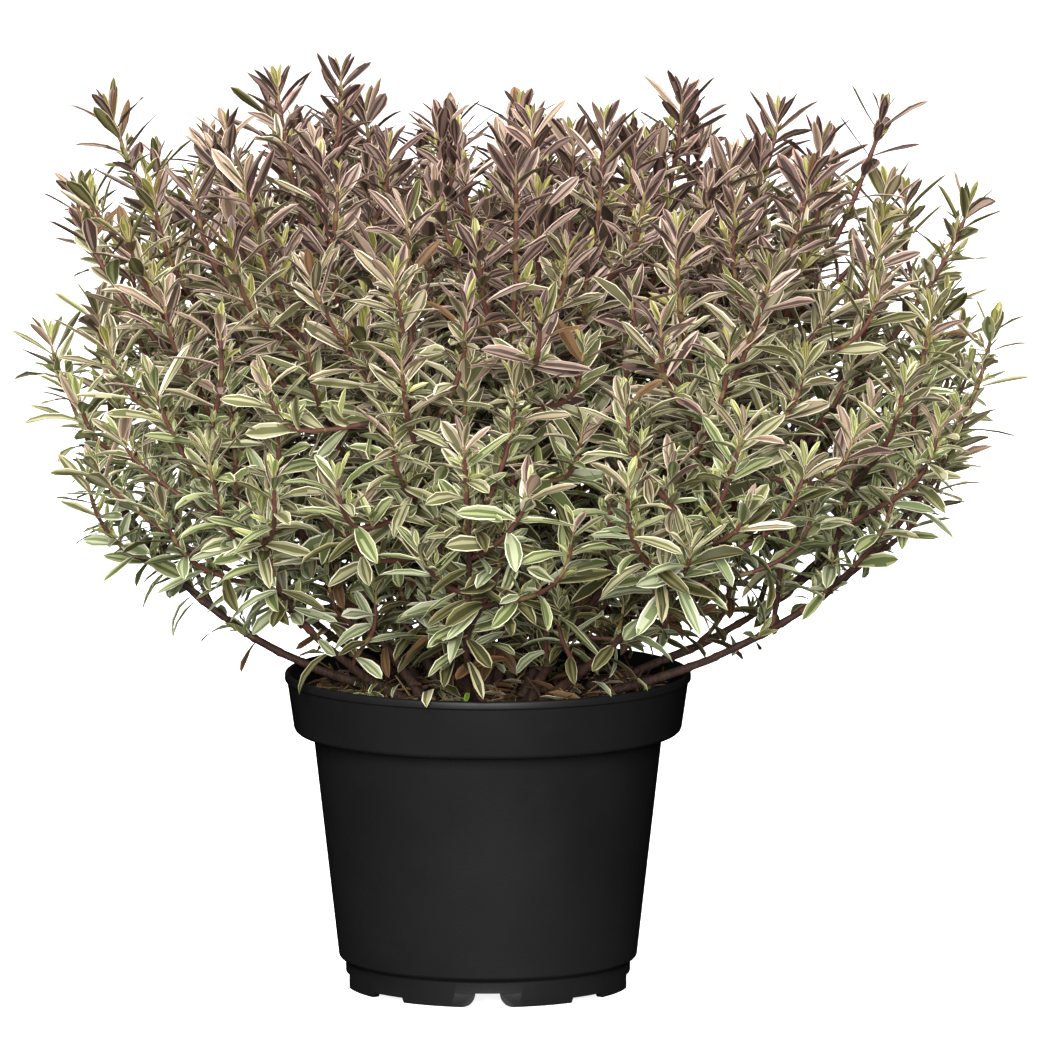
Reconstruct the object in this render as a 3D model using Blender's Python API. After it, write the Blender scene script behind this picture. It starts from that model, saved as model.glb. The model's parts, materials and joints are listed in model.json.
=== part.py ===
"""A hebe shrub in a black nursery pot.

The plant is built as its pot, its ball of compost, its stems and its masses
of foliage. Sizes are in millimetres and are turned into metres when a mesh is
made. X runs to the right, Y runs away from the viewer and Z is up.
"""
import math
import random
from collections import namedtuple

import bmesh
import bpy
import numpy as np
from mathutils import Matrix, Vector
from mathutils.bvhtree import BVHTree

MM = 0.001
SEED = 23
UP = Vector((0.0, 0.0, 1.0))

# The pot: a tapered body, a wider collar at its top and a notched foot ring.
POT_HEIGHT = 148.0
POT_SIDES = 40
LIP_RADIUS = 95.0
LIP_HEIGHT = 4.0
COLLAR_TOP_RADIUS = 93.9
COLLAR_BOTTOM_RADIUS = 90.4
COLLAR_HEIGHT = 28.0
COLLAR_ROUNDING = 2.4
BODY_TOP_RADIUS = 81.8
BODY_BOTTOM_RADIUS = 69.8
BODY_BOTTOM_Z = 14.0
FOOT_RADIUS = 66.4
FOOT_HEIGHT = 12.0
FOOT_RING_WIDTH = 4.2
FOOT_TAPER = 0.4
LIP_STEP = 0.6
LIP_ROUNDING = 0.8
WALL = 1.6
FLOOR_UNDERSIDE_Z = 8.0
FLOOR_TOP_Z = 10.0
FLOOR_COVE = 6.0

# Notches in the foot ring: four deep ones and four shallow ones between them.
NOTCH_WIDTH = 30.4
NOTCH_HEIGHT = 6.7
NOTCH_RECESS = 1.6
NOTCH_MOUTH_TOP = 11.3
NOTCH_MOUTH_BOTTOM = 24.0
NOTCH_CURVE_STEPS = 3
SHALLOW_NOTCH_WIDTH = 19.0
SHALLOW_NOTCH_HEIGHT = 2.4

# The ball of compost fills the pot to a little under its rim.
SEAT_GAP = 0.3
COMPOST_INSET = 0.2
COMPOST_TOP_INSET = 0.3
COMPOST_TOP_Z = 138.0

# The crown's outline, a rounded solid that the tips of the shoots lie on.
CROWN_CENTRE = Vector((17.0, 0.0, 262.0))
CROWN_HALF_WIDTH = 240.0
CROWN_HALF_DEPTH = 226.0
CROWN_RISE = 170.0
CROWN_DROP = 112.0
CROWN_RIGHT_POWER = 3.4
CROWN_LEFT_POWER = 4.2
CROWN_LOW_POWER = 2.2
ROSETTE_REACH = 27.0

# Each ring holds stems that leave the compost together and end at one height.
Ring = namedtuple("Ring", "name count turn tip_elevation base_radius lean lean_reach tip_rise bare")
RINGS = (
    Ring("low", 9, 20.0, 5.0, 48.0, 27.0, 60.0, 62.0, 0.31),
    Ring("middle", 7, 0.0, 21.0, 35.0, 55.0, 56.0, 64.0, 0.25),
    Ring("shoulder", 8, 0.0, 37.0, 22.0, 68.0, 66.0, 72.0, 0.23),
    Ring("top", 4, 22.0, 60.0, 10.0, 84.0, 70.0, 84.0, 0.23),
)
TURN_SPREAD = 5.0
TIP_SPREAD = 4.0
TIP_HANDLE = 0.38

# The low stems at the left and right arch out close over the rim.
Arch = namedtuple("Arch", "lean lean_reach tip_rise")
ARCH = Arch(14.0, 95.0, 70.0)
ARCHING = ("low_1", "low_4", "low_5", "low_9")

# Leaders are the single shoots that stand out of the crown's outline.
Leader = namedtuple("Leader", "turn rise reach")
LEADERS = {
    "low_5": Leader(0.0, 0.0, 1.03),
    "low_9": Leader(6.0, 3.0, 1.02),
    "middle_1": Leader(0.0, 5.0, 1.03),
    "middle_4": Leader(4.0, 0.0, 1.07),
    "shoulder_1": Leader(0.0, 0.0, 1.07),
    "shoulder_5": Leader(0.0, -1.0, 1.14),
    "top_2": Leader(0.0, 0.0, 0.94),
    "top_3": Leader(-8.0, -4.0, 1.14),
}

# A stem is a tapering limb and a twig is three-sided.
STEM_SIDES = 5
STEM_STEPS = 4
STEM_BASE_RADIUS = 3.1
STEM_TIP_RADIUS = 2.2
AXIS_STEPS = 5
TWIG_SIDES = 3
TWIG_BASE_RADIUS = 2.4
SHOOT_BASE_RADIUS = 2.0
TWIG_TIP_RADIUS = 1.3

# Side shoots leave the mass's own stem in turn and bend up to the outline.
SIDE_SHOOTS = 4
SIDE_FIRST = 0.07
SIDE_STEP = 0.18
SIDE_PLACE_SPREAD = 0.03
SIDE_ROLL_SPREAD = 25.0
SIDE_ANGLE = 48.0
SIDE_BEND_PLACE = 0.45
SIDE_STEPS = 2
SIDE_LONGEST = 92.0
SIDE_LEAST_SHARE = 0.85
SIDE_SHORTEST = 26.0
SIDE_TRIM = 6.0
SPACE_MARGIN = 1.5
SHOOT_MARGIN = 5.0

# Leaves stand in opposite pairs, each pair turned a quarter from the last.
PAIR_FIRST = 3.0
PAIR_GAP = 14.0
PAIR_GAP_GROWTH = 4.5
LEAF_LENGTH = 57.0
LEAF_TIP_LENGTH = 35.0
LEAF_WIDTH_RATIO = 0.37
LEAF_THICKNESS_RATIO = 0.030
LEAF_ROOT_SHARE = 0.09
LEAF_RECURVE = 0.05
LEAF_WIDEST = 0.42
LEAF_CLOSED_ANGLE = 24.0
LEAF_OPEN_ANGLE = 74.0
LEAF_OPENS_OVER = 48.0
LEAF_OPENING_POWER = 0.7
LEAF_TURN_SPREAD = 8.0
LEAF_TILT_SPREAD = 7.0
LEAF_SIZES = (0.9, 1.06)
LEAF_DROOP = 0.34
LEAF_TRIMS = (1.0, 0.82, 0.64)
SAME_NODE = 1.0
RIM_CLEARANCE = 2.5

POT_COLOUR = (0.018, 0.018, 0.019)
COMPOST_COLOUR = (0.035, 0.024, 0.016)
STEM_COLOUR = (0.085, 0.035, 0.025)
LEAF_LOW_COLOUR = (0.26, 0.27, 0.14)
LEAF_TOP_COLOUR = (0.25, 0.18, 0.13)
POT_ROUGHNESS = 0.45
COMPOST_ROUGHNESS = 0.95
STEM_ROUGHNESS = 0.6
LEAF_ROUGHNESS = 0.55
SHARP_ANGLE = 35.0
STEM_SHARP_ANGLE = 75.0


def remove_scene_objects():
    for item in list(bpy.data.objects):
        bpy.data.objects.remove(item, do_unlink=True)


def make_material(name, colour, roughness):
    material = bpy.data.materials.new(name)
    material.use_nodes = True
    shader = material.node_tree.nodes["Principled BSDF"]
    shader.inputs["Base Color"].default_value = (*colour, 1.0)
    shader.inputs["Roughness"].default_value = roughness
    shader.inputs["Metallic"].default_value = 0.0
    return material


def make_object(name, mesh, material, collection=None):
    item = bpy.data.objects.new(name, mesh)
    mesh.materials.clear()
    mesh.materials.append(material)
    (collection or bpy.context.scene.collection).objects.link(item)
    return item


def make_mesh(name, points, faces):
    """A closed mesh in metres from points in millimetres, normals outward."""
    shape = bmesh.new()
    corners = [shape.verts.new(Vector(point) * MM) for point in points]
    for face in faces:
        shape.faces.new([corners[index] for index in face])
    bmesh.ops.recalc_face_normals(shape, faces=shape.faces)
    mesh = bpy.data.meshes.new(name)
    shape.to_mesh(mesh)
    shape.free()
    return mesh


def turned_mesh(name, profile):
    """Turn a closed profile of radius and height about the pot's axis."""
    shape = bmesh.new()
    corners = [shape.verts.new((radius * MM, 0.0, height * MM)) for radius, height in profile]
    edges = [
        shape.edges.new((corners[index - 1], corner))
        for index, corner in enumerate(corners)
        if index > 0 or profile[0][0] > 0.0
    ]
    bmesh.ops.spin(
        shape,
        geom=corners + edges,
        axis=UP,
        cent=(0.0, 0.0, 0.0),
        angle=math.tau,
        steps=POT_SIDES,
        use_merge=True,
    )
    bmesh.ops.remove_doubles(shape, verts=shape.verts, dist=0.01 * MM)
    bmesh.ops.recalc_face_normals(shape, faces=shape.faces)
    mesh = bpy.data.meshes.new(name)
    shape.to_mesh(mesh)
    shape.free()
    return mesh


def shade_round(mesh, angle):
    mesh.shade_smooth()
    mesh.set_sharp_from_angle(angle=math.radians(angle))


# The pot


def body_radius(height):
    """The body's outer radius at a height, on its straight taper."""
    share = (height - BODY_BOTTOM_Z) / (POT_HEIGHT - COLLAR_HEIGHT - BODY_BOTTOM_Z)
    return BODY_BOTTOM_RADIUS + share * (BODY_TOP_RADIUS - BODY_BOTTOM_RADIUS)


def pot_profile():
    ledge = POT_HEIGHT - COLLAR_HEIGHT
    lip_bottom = POT_HEIGHT - LIP_HEIGHT
    return (
        (FOOT_RADIUS, 0.0),
        (FOOT_RADIUS + FOOT_TAPER, FOOT_HEIGHT),
        (BODY_BOTTOM_RADIUS, BODY_BOTTOM_Z),
        (BODY_TOP_RADIUS, ledge),
        (COLLAR_BOTTOM_RADIUS - COLLAR_ROUNDING, ledge),
        (COLLAR_BOTTOM_RADIUS, ledge + COLLAR_ROUNDING),
        (COLLAR_TOP_RADIUS, lip_bottom),
        (LIP_RADIUS, lip_bottom + LIP_STEP),
        (LIP_RADIUS, POT_HEIGHT - LIP_ROUNDING),
        (LIP_RADIUS - LIP_ROUNDING, POT_HEIGHT),
        (COLLAR_TOP_RADIUS - WALL, POT_HEIGHT),
        (COLLAR_BOTTOM_RADIUS - WALL, ledge + WALL),
        (BODY_TOP_RADIUS - WALL, ledge + WALL),
        (body_radius(FLOOR_TOP_Z + FLOOR_COVE) - WALL, FLOOR_TOP_Z + FLOOR_COVE),
        (FOOT_RADIUS - WALL, FLOOR_TOP_Z),
        (0.0, FLOOR_TOP_Z),
        (0.0, FLOOR_UNDERSIDE_Z),
        (FOOT_RADIUS - FOOT_RING_WIDTH, FLOOR_UNDERSIDE_Z),
        (FOOT_RADIUS - FOOT_RING_WIDTH, 0.0),
    )


def prism_mesh(name, outline, near, far):
    """An outline of width and height drawn out along Y, from near to far."""
    count = len(outline)
    points = [(x, near, z) for x, z in outline] + [(x, far, z) for x, z in outline]
    faces = [tuple(range(count)), tuple(range(count, 2 * count))]
    for index in range(count):
        after = (index + 1) % count
        faces.append((index, after, count + after, count + index))
    return make_mesh(name, points, faces)


def mouth_outline():
    """Half the mouth curves out as a quarter circle to the foot's underside."""
    inner = NOTCH_MOUTH_TOP / 2.0
    flare = (NOTCH_MOUTH_BOTTOM - NOTCH_MOUTH_TOP) / 2.0
    right = []
    for step in range(NOTCH_CURVE_STEPS + 1):
        angle = math.radians(90.0 * step / NOTCH_CURVE_STEPS)
        right.append((inner + flare * (1.0 - math.cos(angle)), NOTCH_HEIGHT * (1.0 - math.sin(angle))))
    right.append((inner + flare, -1.0))
    left = [(-x, z) for x, z in reversed(right)]
    return right + left


def box_outline(width, height):
    half = width / 2.0
    return ((-half, -1.0), (half, -1.0), (half, height), (-half, height))


def foot_cutters():
    """Cutting prisms for all the notches, with their turns about the axis."""
    outside = -FOOT_RADIUS - 2.0
    ring_inside = -FOOT_RADIUS + FOOT_RING_WIDTH + 2.0
    recess_inside = -FOOT_RADIUS + NOTCH_RECESS
    recess = prism_mesh("recess", box_outline(NOTCH_WIDTH, NOTCH_HEIGHT), outside, recess_inside)
    mouth = prism_mesh("mouth", mouth_outline(), outside, ring_inside)
    shallow_outline = box_outline(SHALLOW_NOTCH_WIDTH, SHALLOW_NOTCH_HEIGHT)
    shallow = prism_mesh("shallow", shallow_outline, outside, ring_inside)
    for quarter in range(4):
        turn = math.radians(90.0 * quarter)
        yield recess, turn
        yield mouth, turn
        yield shallow, turn + math.radians(45.0)


def combine(base, pieces, operation, solver):
    """Apply one Boolean of a collection of pieces to a base, then drop the pieces."""
    modifier = base.modifiers.new("combined", "BOOLEAN")
    modifier.operation = operation
    modifier.operand_type = "COLLECTION"
    modifier.collection = pieces
    modifier.solver = solver
    bpy.context.view_layer.update()
    evaluated = base.evaluated_get(bpy.context.evaluated_depsgraph_get())
    mesh = bpy.data.meshes.new_from_object(evaluated)
    base.modifiers.remove(modifier)
    base.data = mesh
    return base


def drop_collection(collection):
    for item in list(collection.objects):
        bpy.data.objects.remove(item, do_unlink=True)
    bpy.data.collections.remove(collection)


def make_pot(material):
    pot = make_object("pot", turned_mesh("pot", pot_profile()), material)
    cutters = bpy.data.collections.new("foot_cutters")
    bpy.context.scene.collection.children.link(cutters)
    for mesh, turn in foot_cutters():
        cutter = make_object("foot_cutter", mesh, material, cutters)
        cutter.rotation_euler.z = turn
    combine(pot, cutters, "DIFFERENCE", "EXACT")
    drop_collection(cutters)
    shade_round(pot.data, SHARP_ANGLE)
    return pot


def make_compost(material):
    ledge = POT_HEIGHT - COLLAR_HEIGHT
    cove_top = FLOOR_TOP_Z + FLOOR_COVE
    wall = WALL + SEAT_GAP
    collar_slope = (COLLAR_TOP_RADIUS - COLLAR_BOTTOM_RADIUS) / (COLLAR_HEIGHT - LIP_HEIGHT)
    top_radius = COLLAR_BOTTOM_RADIUS + collar_slope * (COMPOST_TOP_Z - ledge - WALL) - wall
    profile = (
        (0.0, FLOOR_TOP_Z + SEAT_GAP),
        (FOOT_RADIUS - wall - COMPOST_INSET, FLOOR_TOP_Z + SEAT_GAP),
        (body_radius(cove_top) - wall - COMPOST_INSET, cove_top + SEAT_GAP),
        (BODY_TOP_RADIUS - wall, ledge + WALL + SEAT_GAP),
        (COLLAR_BOTTOM_RADIUS - wall, ledge + WALL + SEAT_GAP),
        (top_radius - COMPOST_TOP_INSET, COMPOST_TOP_Z),
        (0.0, COMPOST_TOP_Z),
    )
    compost = make_object("root_ball", turned_mesh("root_ball", profile), material)
    shade_round(compost.data, SHARP_ANGLE)
    return compost


# The plan of the crown


def direction(azimuth, elevation):
    """A unit vector from an azimuth and an elevation in degrees."""
    level = math.cos(math.radians(elevation))
    return Vector((
        level * math.cos(math.radians(azimuth)),
        level * math.sin(math.radians(azimuth)),
        math.sin(math.radians(elevation)),
    ))


def crown_measure(point, inset=ROSETTE_REACH):
    """One on the crown's outline drawn in by the inset, less than one inside."""
    offset = Vector(point) - CROWN_CENTRE
    spread = math.hypot(offset.x / (CROWN_HALF_WIDTH - inset), offset.y / (CROWN_HALF_DEPTH - inset))
    if offset.z > 0.0:
        leftness = (1.0 - math.cos(math.atan2(offset.y, offset.x))) / 2.0
        power = CROWN_RIGHT_POWER + (CROWN_LEFT_POWER - CROWN_RIGHT_POWER) * leftness
        height = offset.z / (CROWN_RISE - inset)
    else:
        power = CROWN_LOW_POWER
        height = -offset.z / (CROWN_DROP - inset)
    return (spread ** power + height ** power) ** (1.0 / power)


def outline_point(azimuth, elevation, reach=1.0):
    """The point of the drawn-in outline that lies in a direction from the centre."""
    ray = direction(azimuth, elevation)
    return CROWN_CENTRE + ray * (reach / crown_measure(CROWN_CENTRE + ray))


def curve_points(start, first, second, end, low, high, steps):
    """Points along part of a cubic curve, from a low to a high share of it."""
    points = []
    for step in range(steps + 1):
        share = low + (high - low) * step / steps
        rest = 1.0 - share
        points.append(
            start * rest ** 3
            + first * 3.0 * rest ** 2 * share
            + second * 3.0 * rest * share ** 2
            + end * share ** 3
        )
    return points


Limb = namedtuple("Limb", "name ring stem axis")


def plan_limbs():
    """The course of every stem and of the foliage's own stem beyond it."""
    limbs = []
    for ring in RINGS:
        for index in range(ring.count):
            name = f"{ring.name}_{index + 1}"
            dice = random.Random(f"{SEED} {name}")
            azimuth = ring.turn + 360.0 * index / ring.count + dice.uniform(-TURN_SPREAD, TURN_SPREAD)
            elevation = ring.tip_elevation + dice.uniform(-TIP_SPREAD, TIP_SPREAD)
            leader = LEADERS.get(name, Leader(0.0, 0.0, 1.0))
            tip = outline_point(azimuth + leader.turn, elevation + leader.rise, leader.reach)
            base = direction(azimuth, 0.0) * ring.base_radius + UP * (COMPOST_TOP_Z + SEAT_GAP)
            handle = (tip - base).length * TIP_HANDLE
            bow = ARCH if name in ARCHING else ring
            first = base + direction(azimuth, bow.lean) * bow.lean_reach
            second = tip - direction(azimuth, bow.tip_rise) * handle
            stem = curve_points(base, first, second, tip, 0.0, ring.bare, STEM_STEPS)
            axis = curve_points(base, first, second, tip, ring.bare, 1.0, AXIS_STEPS)
            gap = (axis[1] - axis[0]).normalized() * SEAT_GAP
            axis = [point + gap for point in axis]
            limbs.append(Limb(name, ring.name, stem, axis))
    return limbs


class Space:
    """Tells which points lie in one mass's own space, nearest to its stem."""

    def __init__(self, limbs):
        self.samples = np.array([[tuple(point) for point in limb.axis] for limb in limbs])

    def slack(self, point, owner):
        """How much nearer a point is to its owner's stem than to any other."""
        gaps = np.linalg.norm(self.samples - np.array(point), axis=2).min(axis=1)
        own = gaps[owner]
        gaps[owner] = np.inf
        return gaps.min() - own

    def holds(self, points, owner, margin):
        return all(self.slack(point, owner) > margin and clear_of_pot(point) for point in points)


def clear_of_pot(point):
    """True above the compost and outside the pot's rim."""
    radius = math.hypot(point[0], point[1])
    if radius < LIP_RADIUS + RIM_CLEARANCE:
        return point[2] > POT_HEIGHT + RIM_CLEARANCE
    return point[2] > COMPOST_TOP_Z


# Twigs and leaves


def directions_along(points):
    ways = []
    for index in range(len(points)):
        before = points[max(index - 1, 0)]
        after = points[min(index + 1, len(points) - 1)]
        ways.append((after - before).normalized())
    return ways


def frames_along(points):
    """The direction and one steady crosswise direction at each point of a course."""
    ways = directions_along(points)
    across = ways[0].orthogonal().normalized()
    frames = []
    for way in ways:
        across = (across - way * across.dot(way)).normalized()
        frames.append((way, across))
    return frames


def tube_mesh(name, points, radii, sides, level_start=False):
    """A closed tapering tube along a course, with flat ends."""
    corners = []
    for (way, across), centre, radius in zip(frames_along(points), points, radii):
        other = way.cross(across)
        level = level_start and centre is points[0]
        for side in range(sides):
            angle = math.tau * side / sides
            offset = across * (radius * math.cos(angle)) + other * (radius * math.sin(angle))
            if level:
                flat = Vector((offset.x, offset.y, 0.0))
                offset = flat.normalized() * radius
            corners.append(centre + offset)
    faces = [tuple(range(sides)), tuple(range(len(corners) - sides, len(corners)))]
    for row in range(len(points) - 1):
        for side in range(sides):
            after = (side + 1) % sides
            low = row * sides
            high = low + sides
            faces.append((low + side, low + after, high + after, high + side))
    return make_mesh(name, corners, faces)


def taper(start, end, count):
    return [start + (end - start) * index / (count - 1) for index in range(count)]


def place_along(points, distance_from_tip):
    """The place, direction and crosswise direction at a distance back from the tip."""
    frames = frames_along(points)
    left = distance_from_tip
    for index in range(len(points) - 1, 0, -1):
        run = (points[index] - points[index - 1]).length
        if left <= run:
            share = left / run
            place = points[index].lerp(points[index - 1], share)
            way = frames[index][0].lerp(frames[index - 1][0], share).normalized()
            across = frames[index][1]
            return place, way, (across - way * across.dot(way)).normalized()
        left -= run
    return None


def side_course(limb, owner, space, number, dice):
    """The course of one side shoot, cut short where it would leave its space."""
    share = SIDE_FIRST + SIDE_STEP * number + dice.uniform(-SIDE_PLACE_SPREAD, SIDE_PLACE_SPREAD)
    length = sum((b - a).length for a, b in zip(limb.axis, limb.axis[1:]))
    start, way, across = place_along(limb.axis, length * (1.0 - share))
    spread = dice.uniform(-SIDE_ROLL_SPREAD, SIDE_ROLL_SPREAD)
    roll = math.radians(90.0 * number + 180.0 * (number // 2) + spread)
    outward = Matrix.Rotation(roll, 3, way) @ across
    angle = math.radians(SIDE_ANGLE)
    first_way = way * math.cos(angle) + outward * math.sin(angle)
    away = (start - CROWN_CENTRE).normalized()
    last_way = (first_way * 0.5 + UP * 0.55 + away * 0.25).normalized()
    reach = SIDE_LONGEST * dice.uniform(SIDE_LEAST_SHARE, 1.0)
    while reach >= SIDE_SHORTEST:
        middle = start + first_way * reach * SIDE_BEND_PLACE
        end = middle + last_way * reach * (1.0 - SIDE_BEND_PLACE)
        first = start.lerp(middle, 0.67)
        second = middle.lerp(end, 0.33)
        points = curve_points(start, first, second, end, 0.0, 1.0, SIDE_STEPS)
        inside = crown_measure(end) <= 1.0
        if inside and space.holds(points[1:], owner, SHOOT_MARGIN):
            return points
        reach -= SIDE_TRIM
    return None


def leaf_corners(root, way, upward, length, width):
    """A small three-cornered root, the same section at the widest place, and a tip."""
    side = way.cross(upward)
    section = (
        side * (-width / 2.0),
        side * (width / 2.0),
        upward * (-length * LEAF_THICKNESS_RATIO),
    )
    widest = root + way * (length * LEAF_WIDEST)
    corners = [root + offset * LEAF_ROOT_SHARE for offset in section]
    corners += [widest + offset for offset in section]
    corners.append(root + way * length - upward * (length * LEAF_RECURVE))
    return corners


LEAF_FACES = (
    (0, 1, 2),
    (0, 1, 4, 3),
    (1, 2, 5, 4),
    (2, 0, 3, 5),
    (3, 4, 6),
    (4, 5, 6),
    (5, 3, 6),
)


def leaf_places(points, dice):
    """Root, direction, upper side and size share of every leaf on a shoot."""
    distance = PAIR_FIRST
    roll = dice.uniform(0.0, 90.0)
    pair = 0
    while True:
        place = place_along(points, distance)
        if place is None:
            return
        root, way, across = place
        openness = min(distance / LEAF_OPENS_OVER, 1.0)
        opening = openness ** LEAF_OPENING_POWER
        angle = LEAF_CLOSED_ANGLE + (LEAF_OPEN_ANGLE - LEAF_CLOSED_ANGLE) * opening
        length = LEAF_TIP_LENGTH + (LEAF_LENGTH - LEAF_TIP_LENGTH) * openness
        for half in range(2):
            turn = math.radians(roll + 180.0 * half + dice.uniform(-LEAF_TURN_SPREAD, LEAF_TURN_SPREAD))
            tilt = math.radians(angle + dice.uniform(-LEAF_TILT_SPREAD, LEAF_TILT_SPREAD))
            outward = Matrix.Rotation(turn, 3, way) @ across
            along = way * math.cos(tilt) + outward * math.sin(tilt)
            along = (along - UP * (LEAF_DROOP * openness)).normalized()
            upward = (way - along * way.dot(along)).normalized()
            yield root, along, upward, length * dice.uniform(*LEAF_SIZES)
        roll += 90.0
        distance += PAIR_GAP + PAIR_GAP_GROWTH * pair
        pair += 1


def leaf_test_points(corners):
    """The leaf's outer corners and places between them."""
    left, right, keel, tip = corners[3:]
    middle = (left + right) / 2.0
    return (
        left,
        right,
        keel,
        tip,
        corners[0].lerp(middle, 0.5),
        middle.lerp(tip, 0.5),
        left.lerp(tip, 0.5),
        right.lerp(tip, 0.5),
    )


def tree_of(mesh):
    points = [vertex.co.copy() for vertex in mesh.vertices]
    faces = [tuple(polygon.vertices) for polygon in mesh.polygons]
    return BVHTree.FromPolygons(points, faces)


def shoot_courses(limb, owner, space, dice):
    """The mass's own stem and those of its side shoots that stay in its space."""
    courses = [limb.axis]
    for number in range(SIDE_SHOOTS):
        course = side_course(limb, owner, space, number, dice)
        if course:
            courses.append(course)
    return courses


def grow_leaf(root, along, upward, length, owner, space, barriers):
    """A leaf cut short until it fits its space, or nothing where none fits."""
    for trim in LEAF_TRIMS:
        size = length * trim
        corners = leaf_corners(root, along, upward, size, size * LEAF_WIDTH_RATIO)
        if not space.holds(leaf_test_points(corners), owner, SPACE_MARGIN):
            continue
        leaf = make_mesh("leaf", corners, LEAF_FACES)
        tree = tree_of(leaf)
        if not any(tree.overlap(barrier) for barrier in barriers):
            return leaf, tree
    return None, None


def grow_mass(limb, owner, space, stem_tree, material):
    """One mass: its own stem, its side shoots and their leaves, joined to one solid."""
    dice = random.Random(f"{SEED} foliage {limb.name}")
    twigs = []
    for course in shoot_courses(limb, owner, space, dice):
        start = SHOOT_BASE_RADIUS if twigs else TWIG_BASE_RADIUS
        radii = taper(start, TWIG_TIP_RADIUS, len(course))
        mesh = tube_mesh("twig", course, radii, TWIG_SIDES)
        tree = tree_of(mesh)
        if not tree.overlap(stem_tree):
            twigs.append((course, mesh, tree))
    leaves = []
    for course, _, own_tree in twigs:
        others = [tree for _, _, tree in twigs if tree is not own_tree]
        for root, along, upward, length in leaf_places(course, dice):
            near = [tree for _, place, tree in leaves if (place - root).length > SAME_NODE]
            barriers = [stem_tree] + others + near
            leaf, tree = grow_leaf(root, along, upward, length, owner, space, barriers)
            if leaf:
                leaves.append((leaf, root, tree))
    base = make_object(f"foliage_{limb.name}", twigs[0][1], material)
    parts = bpy.data.collections.new("pieces")
    bpy.context.scene.collection.children.link(parts)
    for mesh in [twig[1] for twig in twigs[1:]] + [leaf[0] for leaf in leaves]:
        make_object("piece", mesh, material, parts)
    combine(base, parts, "UNION", "EXACT")
    drop_collection(parts)
    keep_largest(base.data)
    return base


def face_groups(shape):
    """The separate closed surfaces of a mesh, each as a set of faces."""
    left = set(shape.faces)
    groups = []
    while left:
        group = set()
        queue = [left.pop()]
        while queue:
            face = queue.pop()
            group.add(face)
            for edge in face.edges:
                for near in edge.link_faces:
                    if near in left:
                        left.remove(near)
                        queue.append(near)
        groups.append(group)
    return groups


def keep_largest(mesh):
    """Drop loose scraps and the walls of sealed hollows."""
    shape = bmesh.new()
    shape.from_mesh(mesh)
    bmesh.ops.triangulate(shape, faces=shape.faces)
    groups = sorted(face_groups(shape), key=lambda group: sum(face.calc_area() for face in group))
    for group in groups[:-1]:
        bmesh.ops.delete(shape, geom=list(group), context="FACES")
    shape.to_mesh(mesh)
    shape.free()


# The whole plant


def blend(low, high, share):
    return tuple(a + (b - a) * share for a, b in zip(low, high))


def stand_at_origin(items):
    """Move every mesh so that the whole stands on the origin by its box."""
    corners = np.array([tuple(vertex.co) for item in items for vertex in item.data.vertices])
    low = corners.min(axis=0)
    high = corners.max(axis=0)
    shift = Matrix.Translation((-(low[0] + high[0]) / 2.0, -(low[1] + high[1]) / 2.0, -low[2]))
    for item in items:
        item.data.transform(shift)


def ring_leaf_materials():
    """One leaf material for each ring, from green low down to mauve at the top."""
    materials = {}
    for index, ring in enumerate(RINGS):
        colour = blend(LEAF_LOW_COLOUR, LEAF_TOP_COLOUR, index / (len(RINGS) - 1))
        materials[ring.name] = make_material(f"leaves_{ring.name}", colour, LEAF_ROUGHNESS)
    return materials


def make_stems(limbs, material):
    stems = []
    for limb in limbs:
        radii = taper(STEM_BASE_RADIUS, STEM_TIP_RADIUS, len(limb.stem))
        mesh = tube_mesh(f"stem_{limb.name}", limb.stem, radii, STEM_SIDES, level_start=True)
        shade_round(mesh, STEM_SHARP_ANGLE)
        stems.append(make_object(f"stem_{limb.name}", mesh, material))
    return stems


def tree_of_all(items):
    """One tree of the surfaces of several objects."""
    joined = bmesh.new()
    for item in items:
        joined.from_mesh(item.data)
    tree = BVHTree.FromBMesh(joined)
    joined.free()
    return tree


def main():
    remove_scene_objects()
    pot = make_pot(make_material("black_plastic", POT_COLOUR, POT_ROUGHNESS))
    compost = make_compost(make_material("compost", COMPOST_COLOUR, COMPOST_ROUGHNESS))
    limbs = plan_limbs()
    space = Space(limbs)
    stems = make_stems(limbs, make_material("bark", STEM_COLOUR, STEM_ROUGHNESS))
    stem_tree = tree_of_all(stems)
    leaf_materials = ring_leaf_materials()
    masses = []
    for owner, limb in enumerate(limbs):
        masses.append(grow_mass(limb, owner, space, stem_tree, leaf_materials[limb.ring]))
    stand_at_origin([pot, compost] + stems + masses)


main()
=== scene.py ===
import json
import math
import random
from collections import namedtuple

import bmesh
import bpy
import numpy as np
from mathutils import Matrix, Vector, noise

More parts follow.
